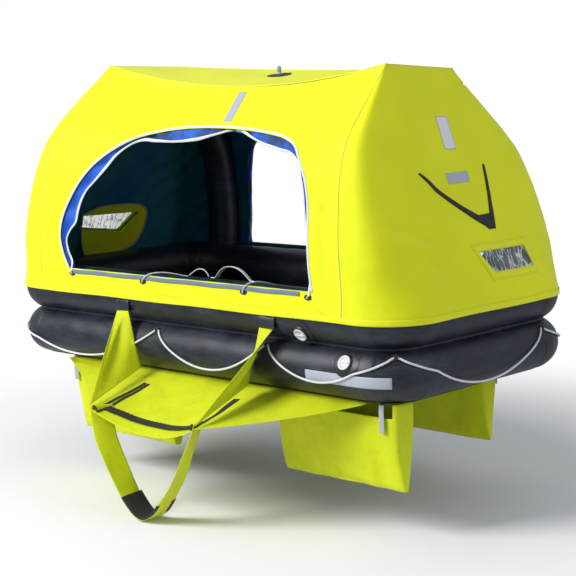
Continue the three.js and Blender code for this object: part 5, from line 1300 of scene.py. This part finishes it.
# Water pockets: four limp bags sewn under the floor, open through a long mouth towards the outside,
# each with a grey tape from the floor down over its mouth.
drops = np.concatenate([np.linspace(0.0008, 0.064, 6), np.linspace(0.064, 0.397, 46)[1:]])
deep = np.interp(drops, [0, 0.06, 0.15, 0.27, 0.36, 0.397], [0.070, 0.072, 0.066, 0.044, 0.024, 0.004])
turn = 2 * np.pi * np.arange(220) / 220
box_x = np.sign(np.cos(turn)) * np.abs(np.cos(turn)) ** 0.22
box_y = np.sign(np.sin(turn)) * np.abs(np.sin(turn)) ** 0.22
for name, x0, y0, tape_at, way in (("front_right", 0.870, -0.5, 0.290, 1), ("front_left", -0.600, -0.5, -0.330, 1),
                                   ("back_left", -0.870, 0.5, 0.290, -1), ("back_right", 0.600, 0.5, -0.330, -1)):
    px = 0.358 * box_x[None] + 0 * drops[:, None]
    py = deep[:, None] * box_y[None]
    pz = -drops[:, None] + 0 * px
    full = np.clip((drops[:, None] - 0.064) / 0.2, 0, 1)
    soft = np.stack([px + x0, py * 2 + y0, pz], -1)
    sway = 0.010 * ripple(soft, 0.30, 71) + 0.005 * np.sin(px * 60 + 3 * np.sin(px * 11 + y0))
    py = py + np.sign(box_y)[None] * sway * full * 0.8
    pz = pz + 0.010 * full * np.sin(px * 13 + x0) - 0.010 * full
    pz = np.maximum(pz, -0.399)
    points = np.stack([way * px + x0, way * py + y0, pz], -1)
    mouth = np.zeros((len(drops) - 1, 220), bool)
    mid_x = (box_x + np.roll(box_x, -1)) * 0.179
    mouth[:5, (box_y < -0.5) & (np.abs(mid_x) < 0.336)] = True
    gone = np.concatenate([[0], np.cumsum(np.hypot(np.diff(0.358 * box_x), np.diff(0.07 * box_y)))])
    bag = build(f"{name}_pocket", [patch(points, drops, np.append(gone, gone[-1] + 0.02), False, True,
                                         holes=mouth)], apron.material,
                [f"{name}_water_pocket"], wall=0.0022)
    cloth(bag, 0.41, 0.875)
    tape = smooth_path(np.array([(tape_at, -0.060, -0.0030), (tape_at, -0.080, -0.0040), (tape_at, -0.0845, -0.012),
                                 (tape_at, -0.0850, -0.060), (tape_at + 0.002, -0.0845, -0.128)]), 40)
    build(f"{name}_pocket_tape", [ribbon(tape * [way, way, 1] + [x0, y0, 0], (0, -way, -0.5), 0.028, 0.0018)],
          piping.material, weld=1e-6)

# Gas cylinder, under the floor: a steel bottle in two webbing straps, with a brass head whose hose
# feeds an inlet on the back of the lower tube. The photo hides them; they follow usual rafts.
steel = Paint("painted_steel", {"Metallic": 0.6})
steel_tone = steel.noise(20, 4)
steel.finish(Base_Color=steel.blend(steel_tone, (0.26, 0.28, 0.30, 1), (0.36, 0.38, 0.40, 1)),
             Roughness=0.35 + 0.15 * steel_tone, Normal=steel.bump(steel_tone, 0.0006, 0.4))
brass = Paint("brass_head", {"Metallic": 0.9})
brass_tone = brass.noise(60, 3)
brass.finish(Base_Color=brass.blend(brass_tone, (0.42, 0.28, 0.10, 1), (0.52, 0.36, 0.14, 1)),
             Roughness=0.32 + 0.15 * brass_tone, Normal=brass.bump(brass_tone, 0.0005, 0.4))
gas_r, gas_y, gas_z = 0.056, 0.215, -0.0602
end_t = np.linspace(0, np.pi / 2, 14)
dome = np.column_stack([gas_r * np.sin(end_t), -0.186 - 0.046 * np.cos(end_t)])
neck = np.array([(0.022, 0.2300), (0.0175, 0.2345), (0.017, 0.238), (0.017, 0.247), (0, 0.2475)])
shoulder = (dome * [1, -1])[::-1][:-4]
build("gas_bottle", [turned(np.vstack([dome, shoulder, neck]), (0, gas_y, gas_z), (1, 0, 0), 56)], steel.material,
      ["gas_cylinder"], weld=1e-6)


def rounded(centre, half, power):
    """Soft-cornered block: a superellipsoid of the given half sizes; a high power makes it squarer."""
    lat, lon = np.meshgrid(np.linspace(-np.pi / 2, np.pi / 2, 49), np.linspace(0, 2 * np.pi, 96, endpoint=False),
                           indexing="ij")

    def sharp(w):
        return np.sign(w) * np.abs(w) ** (2 / power)

    unit = np.stack([sharp(np.cos(lat)) * sharp(np.cos(lon)), sharp(np.cos(lat)) * sharp(np.sin(lon)),
                     sharp(np.sin(lat))], -1)
    points = np.asarray(centre) + unit * half
    return patch(points, np.linspace(0, half[2] * 3, 49), np.linspace(0, half[0] * 6, 97), False, True)


head_x = 0.2485
build("firing_valve", [rounded((head_x + 0.022, gas_y, gas_z), (0.022, 0.022, 0.020), 8),
                       turned([(0, 0.018), (0.009, 0.018), (0.009, 0.030), (0.0075, 0.031), (0.0075, 0.034),
                               (0.009, 0.035), (0.009, 0.0495), (0, 0.050)], (head_x + 0.026, gas_y, gas_z),
                              (0, 1, 0), 24)], brass.material, ["firing_head"], weld=1e-6)
for name, x in (("left", -0.12), ("right", 0.12)):
    k = np.linspace(0, np.pi, 40)
    r = gas_r + 0.0026
    loop = np.stack([0 * k + x, gas_y + r * np.cos(k), gas_z - r * np.sin(k)], -1)
    tails = [[x, gas_y + 0.104, -0.0020], [x, gas_y + 0.072, -0.0020], [x, gas_y + r + 0.001, -0.010]]
    path = np.vstack([tails, loop, (np.array(tails) * [1, -1, 1] + [0, 2 * gas_y, 0])[::-1]])
    facing = path - [x, gas_y, gas_z]
    facing[:2], facing[-2:] = (0, 0, -1), (0, 0, -1)
    build(f"{name}_bottle_strap", [ribbon(path, facing, 0.045, 0.0024)], webbing.material,
          [f"{name}_cylinder_strap"], weld=1e-6)
hose_path = smooth_path(np.array([(head_x + 0.026, gas_y + 0.0534, gas_z), (head_x + 0.026, gas_y + 0.066, gas_z),
                                  (head_x - 0.020, gas_y + 0.120, -0.040), (0.120, 0.420, -0.018),
                                  (0.060, 0.520, -0.016), (0.060, 0.620, -0.010), (0.064, 0.690, 0.024),
                                  (0.066, 0.718, 0.090), (0.066, 0.718, 0.150)]), 160)
hose = build("gas_hose", [tube(hose_path, 0.008, 16, (0.3, 0.8, 0.5), strands=2, pitch=0.02, relief=0.01)],
             moulded.material, ["inflation_hose"], weld=1e-6)
inlet_at = np.array([0.066, raft_width / 2 - tube_radius, 0.176])
inlet = build("gas_inlet", [turned([(0.0, 0.1225), (0.024, 0.1225), (0.026, 0.1215), (0.027, 0.116)], inlet_at, (0, 1, 0), 32),
                    rounded((0.066, 0.703, 0.1735), (0.014, 0.0245, 0.0222), 7)], moulded.material,
      ["inflation_inlet"], weld=1e-6)

# Equipment bag: a packed orange bag that lies on the floor at the right end. The photo hides it.
orange = Paint("orange_bag_cloth", {"Sheen Weight": 0.15, "Sheen Roughness": 0.4})
orange_tone = orange.noise(9, 4)
orange.finish(Base_Color=orange.blend(orange_tone, (0.62, 0.13, 0.010, 1), (0.50, 0.09, 0.008, 1)),
              Roughness=0.55 + 0.15 * orange_tone,
              Normal=orange.bump(weave(orange) * 0.2 + orange_tone, 0.003, 0.6))
bag_patch = rounded((0.88, 0, 0.1012), (0.176, 0.216, 0.0930), 4.2)
bag_patch[0][:, 2] += 0.004 * ripple(bag_patch[0], 0.12, 81) * (bag_patch[0][:, 2] > 0.06)
packed = build("equipment_sack", [bag_patch], orange.material, ["equipment_bag"], weld=1e-6)

# World and floor: plain white to the camera. The pale floor under the stirrup keeps the raft's soft
# shadow and fades out to the white behind it.
world = bpy.data.worlds.new("world")
scene.world = world
world.use_nodes = True
nodes, links = world.node_tree.nodes, world.node_tree.links
back_light = nodes["Background"]
back_light.inputs["Color"].default_value = (0.80, 0.86, 0.95, 1)
back_light.inputs["Strength"].default_value = 0.50
plain = nodes.new("ShaderNodeBackground")
plain.inputs["Color"].default_value = (1, 1, 1, 1)
plain.inputs["Strength"].default_value = 1.0
ray = nodes.new("ShaderNodeLightPath")
choose = nodes.new("ShaderNodeMixShader")
links.new(ray.outputs["Is Camera Ray"], choose.inputs[0])
links.new(back_light.outputs[0], choose.inputs[1])
links.new(plain.outputs[0], choose.inputs[2])
links.new(choose.outputs[0], nodes["World Output"].inputs["Surface"])
ground = Paint("pale_floor", {"Specular IOR Level": 0.0, "Roughness": 0.9})
spot = ground.node("SeparateXYZ", {}, {"Vector": ground.place()}, 0)
spot_y = Value(ground, spot.socket.node.outputs[1])
far = ((spot * spot) + (spot_y * spot_y)) ** 0.5
ground.finish(Base_Color=(0.86, 0.86, 0.86, 1), Alpha=1 - far.between(1.6, 3.4))
ground_mesh = bpy.data.meshes.new("floor_plane")
ground_mesh.from_pydata([(-3.5, -3.5, -0.614), (3.5, -3.5, -0.614), (3.5, 3.5, -0.614), (-3.5, 3.5, -0.614)], [],
                        [(0, 1, 2, 3)])
ground_mesh.materials.append(ground.material)
ground_piece = bpy.data.objects.new("floor_plane", ground_mesh)
scene.collection.objects.link(ground_piece)
